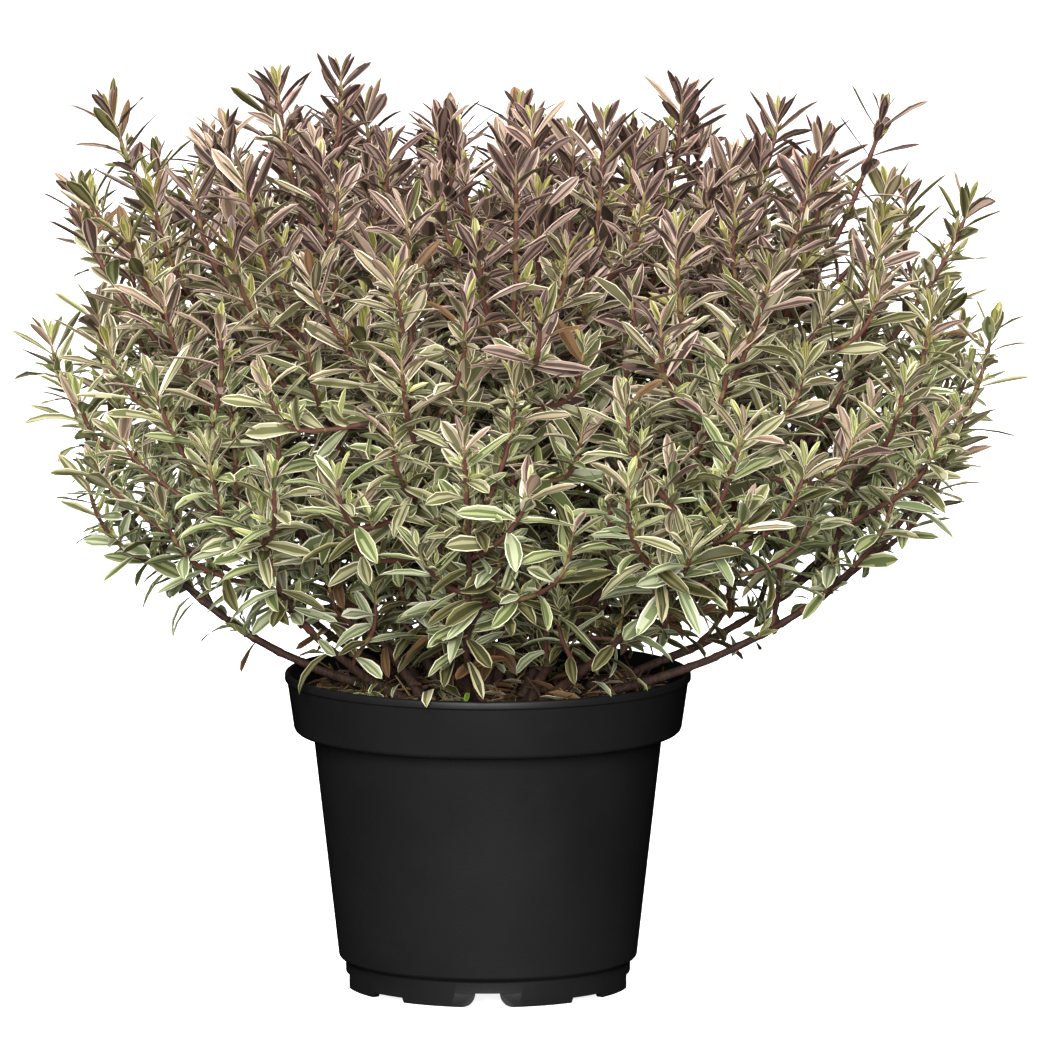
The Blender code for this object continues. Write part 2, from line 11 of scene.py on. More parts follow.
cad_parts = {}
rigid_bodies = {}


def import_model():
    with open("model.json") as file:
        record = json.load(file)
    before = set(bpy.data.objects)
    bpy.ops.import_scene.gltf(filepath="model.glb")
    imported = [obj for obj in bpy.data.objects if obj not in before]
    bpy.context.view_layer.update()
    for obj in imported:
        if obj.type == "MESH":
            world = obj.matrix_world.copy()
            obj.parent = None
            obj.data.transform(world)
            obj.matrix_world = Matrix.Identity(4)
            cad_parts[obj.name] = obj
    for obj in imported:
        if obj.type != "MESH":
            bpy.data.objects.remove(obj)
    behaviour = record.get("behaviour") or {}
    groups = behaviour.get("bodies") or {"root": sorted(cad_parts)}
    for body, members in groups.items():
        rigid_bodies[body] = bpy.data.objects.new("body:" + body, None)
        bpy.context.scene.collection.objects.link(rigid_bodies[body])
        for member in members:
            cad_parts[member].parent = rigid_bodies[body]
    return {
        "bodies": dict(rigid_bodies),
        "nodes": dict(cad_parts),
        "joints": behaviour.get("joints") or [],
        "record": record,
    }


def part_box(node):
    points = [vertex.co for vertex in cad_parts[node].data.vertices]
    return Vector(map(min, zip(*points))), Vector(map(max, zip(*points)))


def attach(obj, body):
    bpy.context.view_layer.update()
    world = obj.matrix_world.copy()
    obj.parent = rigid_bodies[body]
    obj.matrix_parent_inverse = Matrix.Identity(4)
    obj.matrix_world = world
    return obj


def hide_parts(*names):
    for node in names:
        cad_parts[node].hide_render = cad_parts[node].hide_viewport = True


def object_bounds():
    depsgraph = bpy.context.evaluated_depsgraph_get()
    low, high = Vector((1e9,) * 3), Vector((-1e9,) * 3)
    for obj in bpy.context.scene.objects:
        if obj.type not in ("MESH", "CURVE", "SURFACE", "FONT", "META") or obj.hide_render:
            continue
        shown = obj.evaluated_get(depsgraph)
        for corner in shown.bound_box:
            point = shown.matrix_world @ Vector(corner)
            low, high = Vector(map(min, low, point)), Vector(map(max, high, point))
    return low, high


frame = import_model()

# A variegated hebe shrub in a black nursery pot. Lengths are in millimetres
# about the pot's axis and are turned into metres when a mesh is made.
MM = 0.001
SEED = 23
UP = Vector((0.0, 0.0, 1.0))
ORIGIN = Vector((0.0, 0.0, 0.0))
WHITE = (1.0, 1.0, 1.0, 1.0)
CAD_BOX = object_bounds()
BOX_SLACK = 0.009

# The pot, with the part's own sizes. Names in _SHARP are the least angles, in
# degrees, between faces that meet in a sharp edge.
POT_HEIGHT = 148.0
POT_STEPS = 144
POT_SHARP = 32.0
LIP_RADIUS = 95.0
LIP_HEIGHT = 4.0
LIP_SLOPE = 0.5
COLLAR_TOP_RADIUS = 93.9
COLLAR_BOTTOM_RADIUS = 90.4
COLLAR_HEIGHT = 28.0
LEDGE_Z = POT_HEIGHT - COLLAR_HEIGHT
BODY_TOP_RADIUS = 81.8
BODY_BOTTOM_RADIUS = 69.8
BODY_BOTTOM_Z = 14.0
FOOT_RADIUS = 66.4
FOOT_HEIGHT = 12.0
FOOT_TAPER = 0.4
FOOT_RING_WIDTH = 4.2
WALL = 1.6
FLOOR_UNDERSIDE_Z = 8.0
FLOOR_TOP_Z = 10.0
FLOOR_CORNER = 6.0
DRAIN_RADIUS = 2.0
NOTCH_WIDTH = 30.4
NOTCH_HEIGHT = 6.7
NOTCH_RECESS = 1.6
NOTCH_MOUTH_TOP = 11.3
NOTCH_MOUTH_BOTTOM = 24.0
NOTCH_STEPS = 8
SHALLOW_NOTCH_WIDTH = 19.0
SHALLOW_NOTCH_HEIGHT = 2.4
SHALLOW_NOTCH_FLARE = 1.2
BELOW_FOOT = -1.0
CUT_SLACK = 2.0
ROUNDING_STEPS = 3
WELD = 0.01

# The compost. Each of its swells has a seed, a width and a rise.
SEAT_GAP = 0.3
WALL_SLACK = 0.2
TOP_SLACK = 0.4
COMPOST_TOP_Z = 138.0
COMPOST_SINK = 0.6
COMPOST_RINGS = 30
COMPOST_STEPS = 96
COMPOST_SHARP = 60.0
COMPOST_SWELLS = ((4.0, 26.0, 2.4), (9.0, 8.0, 1.3))
MOUND_RISE = 2.6
MOUND_RADIUS = 62.0
CRUMBS = 1500
CRUMB_SPREAD = 86.0
CRUMB_SIZES = (0.8, 1.0, 1.2, 1.5, 1.8, 2.4)
CRUMB_STRETCHES = ((0.8, 2.0), (0.7, 1.1), (0.45, 0.8))
CRUMB_DENTS = (0.75, 1.15)
CRUMB_RISE = 0.15
CRUMB_SHARP = 180.0
CRUMB_KINDS = (
    ("crumb_dark", (40, 29, 20), 0.95, 6),
    ("crumb_brown", (74, 54, 36), 0.95, 3),
    ("crumb_pale", (122, 98, 66), 0.9, 1),
)

# The crown's outline and its rings of stems, as in the part.
CROWN_CENTRE = Vector((17.0, 0.0, 262.0))
CROWN_HALF_WIDTH = 240.0
CROWN_HALF_DEPTH = 226.0
CROWN_RISE = 170.0
CROWN_DROP = 112.0
CROWN_RIGHT_POWER = 3.4
CROWN_LEFT_POWER = 4.2
CROWN_LOW_POWER = 2.2
ROSETTE_REACH = 27.0
Ring = namedtuple("Ring", "name count turn tip_elevation base_radius lean lean_reach tip_rise bare")
RINGS = (
    Ring("low", 9, 20.0, 5.0, 48.0, 27.0, 60.0, 62.0, 0.31),
    Ring("middle", 7, 0.0, 21.0, 35.0, 55.0, 56.0, 64.0, 0.25),
    Ring("shoulder", 8, 0.0, 37.0, 22.0, 68.0, 66.0, 72.0, 0.23),
    Ring("top", 4, 22.0, 60.0, 10.0, 84.0, 70.0, 84.0, 0.23),
)
TURN_SPREAD = 5.0
TIP_SPREAD = 4.0
TIP_HANDLE = 0.38
Arch = namedtuple("Arch", "lean lean_reach tip_rise")
ARCH = Arch(14.0, 95.0, 70.0)
ARCHING = ("low_1", "low_4", "low_5", "low_9")
Leader = namedtuple("Leader", "turn rise reach")
LEADERS = {
    "low_5": Leader(0.0, 0.0, 1.03),
    "low_9": Leader(6.0, 3.0, 1.02),
    "middle_1": Leader(0.0, 5.0, 1.03),
    "middle_4": Leader(4.0, 0.0, 1.07),
    "shoulder_1": Leader(0.0, 0.0, 1.07),
    "shoulder_5": Leader(0.0, -1.0, 1.14),
    "top_2": Leader(0.0, 0.0, 0.94),
    "top_3": Leader(-8.0, -4.0, 1.14),
}
AXIS_STEPS = 5
SIDE_SHOOTS = 4
SIDE_FIRST = 0.07
SIDE_STEP = 0.18
SIDE_SPREAD = 0.03
SIDE_TURN_SPREAD = 25.0
SIDE_ANGLE = 48.0
SIDE_ON, SIDE_UP, SIDE_OUT = 0.5, 0.55, 0.25
SIDE_LONGEST = 92.0
SIDE_SHORTEST = 26.0
SIDE_CUT = 6.0
SIDE_REACHES = (0.85, 1.0)
SIDE_PARTS = (0.45, 0.55)
SIDE_HANDLES = (0.67, 0.33)
SHOOT_MARGIN = 5.0
RIM_CLEARANCE = 2.5

# Finer shoots fill the outline and the depth behind it.
TIP_EXTRA = 13.0
OWN_EXTRA = {"low_5": 12.0, "low_9": 28.0, "shoulder_5": 3.0, "top_2": 4.0, "top_3": 3.0, "middle_4": 18.0}
EXTRA_STEPS = 3
TIP_LIFT = 0.32
TOP_DIP = 0.08
LIMB_STEPS = 34
LIMB_KINK = 0.45
TWIG_STEPS = 12
TWIG_KINK = 0.3
KINK_RISE = 0.4
Fill = namedtuple("Fill", "name order heights reaches spacing nearest furthest wanted lowest")
FILLS = (
    Fill("outer", 2, (-0.20, 1.0), (0.86, 1.0), 33.0, 42.0, 118.0, 74.0, 172.0),
    Fill("inner", 3, (-0.20, 1.0), (0.70, 0.84), 31.0, 36.0, 118.0, 70.0, 172.0),
    Fill("deep", 3, (-0.20, 1.0), (0.30, 0.66), 33.0, 36.0, 118.0, 66.0, 172.0),
    Fill("skirt", 4, (-1.0, -0.60), (0.45, 1.02), 22.0, 15.0, 80.0, 38.0, 158.0),
)
INNER_ORDER = 3
# Wanted tips of the highest fine shoots, which the photograph shows plainly.
PEAKS = (Vector((-68.0, -24.0, 419.0)),)
FILL_TRIES = 5200
FILL_DROPS = (-7.0, 5.0)
LIFT_FROM = 120.0
LIFT_SLOPE = 0.75
LEFT_LIFT_SLOPE = 0.50

# Where a finer shoot may leave from, and the way it takes.
PARENT_FIRST = 16.0
PARENT_LAST = 4.0
PARENT_STEP = 7.0
PARENT_RISE = 6.0
LEAST_TURN = 0.35
LEAST_RISE = 0.05
REACH_COST = 40.0
TURN_COST = 2.0
STRANGER_COST = 0.8
START_ON, START_TOWARD, START_HANDLE = 0.45, 0.9, 0.34
END_OUT, END_TOWARD, END_HANDLE = 0.22, 0.25, 0.42

# Stems and twigs. A twig's row is a distance from its tip and a share of its radius.
STEM_SIDES = 14
STEM_BASE_RADIUS = 2.35
STEM_TOP_RADIUS = 1.7
STEM_RING_GAP = 1.7
STEM_FLARE = 0.30
STEM_FLARE_LENGTH = 7.0
STEM_SINK = 4.0
STEM_SEED_STEP = 7.3
STEM_WELD = 0.02
STEM_SHARP = 70.0
Hump = namedtuple("Hump", "height place width")
NODE_RING = Hump(0.16, 1.2, 1.1)
LEAF_SCAR = Hump(0.14, 2.6, 1.4)
SCAR_POWER = 4
RIDGE = 0.045
CRACKS, CRACK_WIDTH, CRACK_LENGTH = 0.11, 1.3, 3.4
TWIG_SIDES = 6
TWIG_SHARP = 60.0
TWIG_TIP_RADIUS = 0.5
TWIG_TIP_GROWTH = 0.42
TWIG_TIP_LENGTH = 16.0
TWIG_TAPER = 0.0050
TWIG_TIP_ROWS = ((8.0, 1.0), (3.0, 1.0), (0.0, 0.8))
NODE_SWELL = 1.22
SWELL_FROM = 9.0
SWELL_LENGTH = 0.9
ROW_GAP = 3.0
STALK_SIDES = 4
STALK_TAPER = 0.6
LIMB_COLOURS = (
    ("shoot_green", (124, 108, 66)),
    ("twig_maroon", (90, 57, 48)),
    ("twig_brown", (64, 44, 37)),
    ("twig_olive", (112, 92, 60)),
)
GREEN_TWIG, MAROON_TWIG, BROWN_TWIG, OLIVE_TWIG = range(len(LIMB_COLOURS))
GREEN_LENGTH = 10.0
MAROON_LENGTH = 60.0
MAROON_ABOVE_Z = 300.0
OLIVE_CHANCE = 0.16
OLD_MAROON_CHANCE = 0.3
OLD_TWIG = 100.0
TWIG_ROUGHNESS = 0.55

# Leaves stand in opposite pairs, close at the tip and wider apart below. What
# changes up the crown is given at its foot and at its top, and a spread, a
# fold or a bend by its two ends.
FIRST_NODE = 0.8
FIRST_GAP = 1.7
GAP_GROWTH = 1.26
GAP_ADD = 0.5
GAPS = (13.0, 10.0)
GAP_SPREAD = (0.92, 1.1)
LENGTHS = (28.5, 25.5)
LENGTH_SPREAD = (0.9, 1.1)
SIZE_SPREAD = (0.86, 1.1)
ORDER_SIZES = (1.0, 1.0, 0.94, 0.94, 0.80)
WIDTHS = (0.265, 0.27)
WIDTH_SPREAD = (0.84, 1.16)
LOW_FOLDS, TOP_FOLDS = (5.0, 22.0), (6.0, 26.0)
LOW_BENDS, TOP_BENDS = (-0.2, 1.2), (-0.4, 0.4)
FIRST_BEND = 0.2
LEAST_BEND = 0.02
TWISTS = (0.50, 0.26)
DROOPS = (0.42, 0.04)
DROOP_SPREAD = (0.2, 1.6)
DROOP_LENGTH = 40.0
BUD_ANGLE = 18.0
OPEN_ANGLES = (61.0, 50.0)
OPENING_LENGTH = 5.0
OPENING_RATE, MOST_OPENING = 0.12, 9.0
PAIR_SPREAD = 9.0
NODE_TURN_SPREAD = 5.0
TURN_UP = 0.75
FACE_UP = 0.45
GROWTH_START, GROWTH_LENGTH, GROWTH_POWER = 0.6, 9.0, 0.8
BUD_SIZE = 0.24
LEAF_SEAT = 0.35
OLD_LEAF = 95.0
OLD_SIZE = 0.9
LOST_CHANCE = 0.22
HANGING, HANGING_FROM = -0.45, 20.0
DRIFT = 0.5
DRIFT_NODES = 4
TIP_BARE = 5.0
LOW_BARE, HIGH_BARE = 0.80, 0.22
LEAF_STATIONS = (0.0, 0.16, 0.39, 0.66, 0.88)
LEAF_HALVES = (0.22, 0.58, 0.92, 1.0, 0.62)
INNER_STATIONS = (0.0, 0.24, 0.56, 0.85)
INNER_HALVES = (0.24, 0.84, 1.0, 0.55)
TUFT_STATIONS = (0.0, 0.36, 0.76)
TUFT_HALVES = (0.26, 1.0, 0.72)
HALF_SPREAD = (0.92, 1.08)
EDGE_WAVE = 0.03
MARGIN_SPREAD = (0.6, 1.4)
MARGIN_LIMITS = (0.05, 0.7)
CREAM_CHANCE = 0.06
CREAM_MARGINS = (0.34, 0.5)
MARGINS = (0.08, 0.18)
TURNED_OVER = 0.03
LEAF_SHARP = 34.0
SKIRT_X = 128.0
SKIRT_Z = 161.0
SKIRT_SLOPE = 0.62
SKIRT_TOP_Z = 202.0
RIM_GAP = 3.0

# Tufts: the small shoots in the leaves' axils, with each pair's own values.
TUFT_FROM = 11.0
TUFT_CHANCE, FINE_TUFT_CHANCE, OLD_TUFT_CHANCE = 0.62, 0.38, 0.40
TUFT_SIZES = (0.25, 1.0)
TUFT_GROWTH = 30.0
TUFT_ON, TUFT_OUT, TUFT_UP = (0.75, 1.1), (0.55, 0.95), 0.3
STALK_LENGTH, STALK_GROWTH, STALK_SPREAD = 2.0, 9.0, (0.6, 1.0)
STALK_RADIUS, STALK_THICKENING = 0.5, 0.35
STALK_SHARE = 0.8
TUFT_LENGTH, TUFT_LENGTH_GROWTH = 5.5, 12.0
TUFT_SPREAD = (0.88, 1.1)
TUFT_WIDTHS = (0.27, 0.34)
TUFT_FOLDS = (12.0, 26.0)
TUFT_BENDS = (-0.2, 0.5)
TUFT_TWIST = 0.2
FULL_TUFT = 0.45
TUFT_BACKS = (0.4, 1.8, 4.2)
TUFT_PARTS = (0.58, 0.86, 1.0)
TUFT_TILTS = (20.0, 42.0, 62.0)
TUFT_DROOP = 0.04
TUFT_TINT_DROP, TUFT_TINT_AGE, TUFT_TINT_DRIFT = 25.0, 20.0, -0.3
FRESH_CHANCES, FRESH_LOSS = (0.85, 0.60), 0.35

# Painted shade and colour through the crown.
SHADE_RADIUS = 150.0
SHADE_TOP_Z = 280.0
SHADE_DEPTH = 3.4
SHADE_SQUEEZE = 1.05
LOW_SHADE = 0.55
LOW_SHADE_Z = 262.0
LOW_SHADE_FADE = 60.0
FOOT_SHADE = 0.4
FOOT_SHADE_Z = 190.0
SHADED_GREEN = 0.8
CENTRAL_REACH = 1.25
GREEN_BELOW_Z = 170.0
MAUVE_ABOVE_Z = 440.0
DEAD_FROM, DEAD_CHANCE = 70.0, 0.015
FRESH_LENGTH, LOW_FRESH_LENGTH, FRESH_TIP_CHANCE = 2.0, 2.4, 0.70
BLUSH_LENGTH, BLUSH_LOW, BLUSH_HIGH, BLUSH_CHANCE = 11.0, 0.25, 0.9, 0.22
YOUNG_MAUVE, YOUNG_LENGTH = 0.9, 30.0
CENTRAL_MAUVE = 0.8
TINT_SPREAD = 0.45

# Each tint is a leaf's deep and pale streaks and its margin, as screen colours.
Tint = namedtuple("Tint", "name deep pale margin")
TINTS = (
    Tint("sage", (112, 124, 82), (168, 172, 138), (234, 230, 204)),
    Tint("moss", (90, 100, 58), (148, 152, 108), (224, 220, 184)),
    Tint("olive", (97, 98, 62), (158, 153, 119), (230, 219, 189)),
    Tint("bronze", (84, 80, 54), (149, 135, 110), (220, 205, 179)),
    Tint("mauve", (68, 53, 45), (134, 113, 101), (200, 174, 159)),
    Tint("plum", (48, 36, 31), (98, 78, 71), (162, 130, 118)),
    Tint("fresh", (124, 128, 70), (164, 166, 110), (220, 216, 176)),
    Tint("bud", (104, 104, 48), (146, 140, 82), (188, 174, 132)),
    Tint("blush", (122, 101, 84), (160, 138, 119), (222, 200, 182)),
    Tint("straw", (86, 63, 42), (110, 84, 58), (132, 106, 76)),
    # The shade tint is painted shade: a darker olive for leaves deep in the crown and low at its middle.
    Tint("shade", (58, 57, 32), (96, 92, 58), (172, 164, 126)),
    Tint("weed", (92, 122, 40), (128, 156, 62), (150, 176, 84)),
)
DEEP, PALE, MARGIN = 0, 1, 2
ROUGHNESSES = (0.44, 0.46, 0.55)
SAGE, MOSS, OLIVE, BRONZE = 0, 1, 2, 3
LAST_PLAIN_TINT = 5
FRESH, BUD, BLUSH, STRAW, PAINTED_SHADE, WEED = 6, 7, 8, 9, 10, 11
LEAF_STREAKS = (
    (MARGIN, PALE, DEEP, DEEP, PALE, MARGIN),
    (MARGIN, DEEP, PALE, DEEP, PALE, MARGIN),
    (MARGIN, DEEP, PALE, PALE, DEEP, MARGIN),
    (MARGIN, PALE, DEEP, PALE, DEEP, MARGIN),
    (MARGIN, DEEP, DEEP, PALE, DEEP, MARGIN),
)
TUFT_STREAKS = (
    (MARGIN, PALE, DEEP, MARGIN),
    (MARGIN, DEEP, PALE, MARGIN),
    (MARGIN, DEEP, DEEP, MARGIN),
)
# The places from the midrib out to the margin's inner line, and then the edge.
LEAF_CROSSINGS = (0.5, 1.0, None)
TUFT_CROSSINGS = (1.0, None)

# What lies and grows on the compost; weeds and rim leaves are given by azimuth.
LITTER_LEAVES = 260
LITTER_FIBRES = 240
LITTER_SPREAD = 84.0
LITTER_LIMIT = 88.0
LITTER_RISES = (0.8, 6.0)
LITTER_ANGLES = (-8.0, 26.0)
LITTER_LENGTHS = (9.0, 19.0)
# Litter leaves are straw, bronze or the dark olive of the painted shade tint.
LITTER_TINTS = ((STRAW, BRONZE, PAINTED_SHADE), (6, 2, 2))
FLAT_FACING = 0.35
FLAT_WIDTHS = (0.26, 0.36)
FLAT_FOLDS = (4.0, 26.0)
FLAT_BEND = 0.3
FLAT_TWIST = 0.5
FLAT_MARGINS = (0.1, 0.2)
FIBRE_RISE = 0.4
FIBRE_ANGLES = (0.0, 55.0)
FIBRE_LENGTHS = (6.0, 20.0)
FIBRE_BENDS = (-0.5, 1.5)
FIBRE_RADII = (0.25, 0.7)
FIBRE_TAPERS = (1.0, 0.9, 0.6)
FIBRE_COLOURS = ((MAROON_TWIG, BROWN_TWIG, OLIVE_TWIG), (2, 5, 3))
WEEDS = (
    (228.0, 78.0, 3), (246.0, 80.0, 2), (262.0, 79.0, 3), (283.0, 80.0, 2), (299.0, 77.0, 3),
    (316.0, 79.0, 3), (205.0, 80.0, 2), (340.0, 79.0, 2), (80.0, 79.0, 3), (140.0, 78.0, 2),
)
WEED_FOOT, WEED_STEP, WEED_TURN, WEED_WIDTH = 2.0, 2.6, 95.0, 1.2
WEED_ANGLES = (10.0, 40.0)
WEED_LENGTHS = (5.0, 8.5)
RIM_LEAVES = (
    (252.0, 151.5, 21.0, OLIVE), (241.0, 152.5, 15.0, SAGE), (233.0, 152.0, 13.0, MOSS),
    (306.0, 153.0, 17.0, SAGE), (322.0, 152.0, 15.0, MOSS), (70.0, 152.0, 18.0, SAGE),
    (160.0, 152.0, 18.0, MOSS),
)
RIM_LEAF_RADIUS, RIM_LEAF_ANGLE, RIM_LEAF_BEND = 82.0, 14.0, 1.15

# The camera and the lights, in metres, degrees and watts.
FRAME_WIDTH = 0.4925
CAMERA_DISTANCE = 6.0
CAMERA_ELEVATION = 8.0
CAMERA_SENSOR = 36.0
CAMERA_FURTHEST = 60.0
FRAME_RIGHT = 0.01735
FRAME_UP = 0.2148
LIGHT_AIM = Vector((0.0, 0.0, 0.25))
Light = namedtuple("Light", "name place width height power glossy")
LIGHTS = (
    Light("front_softbox", (-0.24, -3.2, 1.4), 1.5, 2.0, 240.0, True),
    Light("front_fill", (0.5, -3.3, 0.6), 1.0, 1.2, 24.0, True),
    Light("top_softbox", (0.0, -0.1, 2.8), 2.4, 2.4, 30.0, True),
    Light("back_softbox", (0.4, 3.0, 2.4), 2.0, 1.2, 80.0, False),
    Light("left_softbox", (-2.3, 0.3, 2.9), 1.6, 1.6, 118.0, False),
    Light("right_softbox", (2.3, 0.4, 2.9), 1.6, 1.6, 90.0, False),
)
FLOOR_RADIUS = 14.0
FLOOR_SIDES = 96
FLOOR_GLOW = 0.85
WORLD_STRENGTH = 0.21


def between(low, high, share):
    return low + (high - low) * share


def clamp(value):
    return min(max(value, 0.0), 1.0)


def either_way(dice, spread):
    return dice.uniform(-spread, spread)


def linear(screen):
    """A linear colour from one given as it shows on a screen, 0 to 255."""
    shares = [part / 255.0 for part in screen]
    return (*(
        share / 12.92 if share <= 0.04045 else ((share + 0.055) / 1.055) ** 2.4 for share in shares
    ), 1.0)


# Finishes


def operator(operation, reflected=False):
    """A shader maths operation as one of Python's operators."""
    def work(value, other):
        pair = (other, value) if reflected else (value, other)
        return value.finish.node("ShaderNodeMath", {"operation": operation}, dict(enumerate(pair)))
    return work


class Value:
    """A shader socket that Python's operators work on."""

    def __init__(self, finish, socket):
        self.finish = finish
        self.socket = socket

    __add__ = __radd__ = operator("ADD")
    __mul__ = __rmul__ = operator("MULTIPLY")
    __sub__, __rsub__ = operator("SUBTRACT"), operator("SUBTRACT", True)


class Finish:
    """A material and the nodes that are added to its shader."""

    def __init__(self, name):
        self.material = bpy.data.materials.new(name)
        self.material.use_nodes = True
        self.tree = self.material.node_tree
        self.shader = self.tree.nodes["Principled BSDF"]

    def node(self, kind, settings=None, sockets=None, output=0):
        item = self.tree.nodes.new(kind)
        for name, value in (settings or {}).items():
            if name == "stops":
                self.set_stops(item.color_ramp, value)
            else:
                setattr(item, name, value)
        for name, value in (sockets or {}).items():
            self.feed(item.inputs[name], value)
        return Value(self, item.outputs[output])

    def set_stops(self, ramp, stops):
        for element, (place, colour) in zip(ramp.elements, stops):
            element.position = place
            element.color = colour

    def feed(self, socket, value):
        if isinstance(value, Value):
            self.tree.links.new(value.socket, socket)
        else:
            socket.default_value = value

    def set(self, **sockets):
        """Feed the shader's own sockets, named with _ for a space."""
        for name, value in sockets.items():
            self.feed(self.shader.inputs[name.replace("_", " ").title().replace("Ior", "IOR")], value)
        return self.material

    def place(self):
        return self.node("ShaderNodeTexCoord", output="Object")

    def noise(self, scale, detail, stretch=(1.0, 1.0, 1.0)):
        """Noise from 0 to 1, with its scale in cells to the metre."""
        where = self.node("ShaderNodeMapping", None, {"Vector": self.place(), "Scale": stretch})
        return self.node("ShaderNodeTexNoise", None, {"Vector": where, "Scale": scale, "Detail": detail})

    def ramp(self, factor, low, first, high, second):
        """A change from a first colour to a second between two values of the factor."""
        return self.node("ShaderNodeValToRGB", {"stops": ((low, first), (high, second))}, {"Fac": factor})

    def mix(self, factor, first, second):
        return self.node("ShaderNodeMix", {"data_type": "RGBA"}, {0: factor, 6: first, 7: second}, 2)

    def bump(self, height, strength, distance):
        sockets = {"Height": height, "Strength": strength, "Distance": distance}
        return self.node("ShaderNodeBump", None, sockets)


def plain_finish(name, screen, roughness):
    return Finish(name).set(base_color=linear(screen), roughness=roughness, specular_ior_level=0.30)


def black_plastic():
    """Satin black plastic with a faint moulded grain and a little dust."""
    finish = Finish("black_plastic")
    grain = finish.noise(scale=900.0, detail=4.0)
    clouds = finish.noise(scale=22.0, detail=3.0)
    dust = finish.noise(scale=60.0, detail=5.0)
    colour = finish.ramp(clouds, 0.3, linear((20, 20, 21)), 0.7, linear((24, 24, 25)))
    speck = finish.ramp(dust, 0.62, (0.0, 0.0, 0.0, 1.0), 0.8, (0.25, 0.25, 0.25, 1.0))
    return finish.set(
        base_color=finish.mix(speck, colour, linear((34, 32, 30))),
        roughness=0.44 + clouds * 0.06,
        specular_ior_level=0.26,
        normal=finish.bump(grain, strength=0.12, distance=0.0004),
    )


def bark():
    """Dark red-brown bark, greyer and rougher near the compost."""
    finish = Finish("bark")
    height = finish.node("ShaderNodeSeparateXYZ", None, {"Vector": finish.place()}, "Z")
    patches = finish.noise(scale=140.0, detail=5.0)
    streaks = finish.noise(scale=900.0, detail=4.0, stretch=(1.0, 1.0, 0.18))
    fine = finish.noise(scale=2400.0, detail=3.0)
    young = finish.ramp(patches, 0.3, linear((50, 33, 30)), 0.72, linear((84, 52, 45)))
    old = finish.ramp(streaks, 0.32, linear((30, 22, 17)), 0.68, linear((74, 55, 42)))
    age = finish.node("ShaderNodeMapRange", None, {0: height + patches * 0.03, 1: 0.152, 2: 0.205})
    return finish.set(
        base_color=finish.mix(age, old, young),
        roughness=0.72 - age * 0.16,
        specular_ior_level=0.3,
        normal=finish.bump(streaks * 0.7 + fine * 0.3, strength=0.5, distance=0.0006),
    )


def compost_finish():
    """Damp peat with paler fibres."""
    finish = Finish("compost")
    clumps = finish.noise(scale=110.0, detail=6.0)
    fibres = finish.noise(scale=700.0, detail=5.0, stretch=(1.0, 0.3, 1.0))
    dark = finish.ramp(clumps, 0.3, linear((28, 20, 14)), 0.62, linear((62, 45, 30)))
    pale = finish.ramp(fibres, 0.58, (0.0, 0.0, 0.0, 1.0), 0.72, WHITE)
    return finish.set(
        base_color=finish.mix(pale, dark, linear((104, 78, 50))),
        roughness=0.95,
        specular_ior_level=0.2,
        normal=finish.bump(clumps * 0.6 + fibres * 0.4, strength=0.8, distance=0.002),
    )


# Meshes


def pot_place():
    """The pot's axis in the frame, in metres."""
    low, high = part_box("pot")
    return Vector(((low.x + high.x) / 2.0, (low.y + high.y) / 2.0, 0.0))


POT_PLACE = pot_place()


def add_object(name, data, collection=None):
    item = bpy.data.objects.new(name, data)
    if collection is None:
        collection = bpy.context.scene.collection
    collection.objects.link(item)
    return item


def show(name, mesh, finishes, nodes):
    """Put a finished mesh in the frame in place of CAD nodes."""
    item = add_object(name, mesh)
    for finish in finishes:
        mesh.materials.append(finish)
    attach(item, "root")
    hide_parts(*nodes)


def show_pile(name, pile, angle, finishes, nodes):
    """Show a pile with those of the finishes that its faces use."""
    mesh, used = pile.mesh(name, angle)
    show(name, mesh, [finishes[number] for number in used], nodes)


def as_mesh(shape, name):
    mesh = bpy.data.meshes.new(name)
    shape.to_mesh(mesh)
    shape.free()
    return mesh


def smooth(mesh, angle):
    mesh.shade_smooth()
    mesh.set_sharp_from_angle(angle=math.radians(angle))
    return mesh


def finish_mesh(shape, name, angle):
    """A mesh in the frame's place from a bmesh in millimetres about the pot's axis."""
    bmesh.ops.transform(shape, matrix=Matrix.Translation(POT_PLACE) @ Matrix.Scale(MM, 4), verts=shape.verts)
    return smooth(as_mesh(shape, name), angle)


class Pile:
    """Many small closed shapes that become one mesh."""

    def __init__(self):
        self.points = []
        self.corners = []
        self.sizes = []
        self.slots = []
        self.count = 0

    def add(self, points, corners, sizes, slots):
        self.points.append(points)
        self.corners.append(corners + self.count)
        self.sizes.append(sizes)
        self.slots.append(slots)
        self.count += len(points)

    def add_copies(self, points, faces, slots):
        """Add shapes of one form: their points by shape, the form's faces and a slot for each face."""
        shapes, each = points.shape[:2]
        corners = np.concatenate([np.array(face) for face in faces])
        sizes = np.array([len(face) for face in faces])
        starts = (np.arange(shapes) * each)[:, None]
        self.add(
            points.reshape(-1, 3),
            (corners[None, :] + starts).ravel(),
            np.tile(sizes, shapes),
            slots.ravel(),
        )

    def mesh(self, name, angle):
        """The joined mesh and the numbers of the finishes that it uses, in slot order."""
        points = np.concatenate(self.points) * MM + np.array(POT_PLACE)
        corners = np.concatenate(self.corners)
        sizes = np.concatenate(self.sizes)
        used, slots = np.unique(np.concatenate(self.slots), return_inverse=True)
        mesh = bpy.data.meshes.new(name)
        mesh.vertices.add(len(points))
        mesh.vertices.foreach_set("co", points.astype(np.float32).ravel())
        mesh.loops.add(len(corners))
        mesh.loops.foreach_set("vertex_index", corners.astype(np.int32))
        mesh.polygons.add(len(sizes))
        mesh.polygons.foreach_set("loop_start", (np.cumsum(sizes) - sizes).astype(np.int32))
        mesh.polygons.foreach_set("material_index", slots.astype(np.int32))
        mesh.update(calc_edges=True)
        return smooth(mesh, angle), used


# The pot and its compost


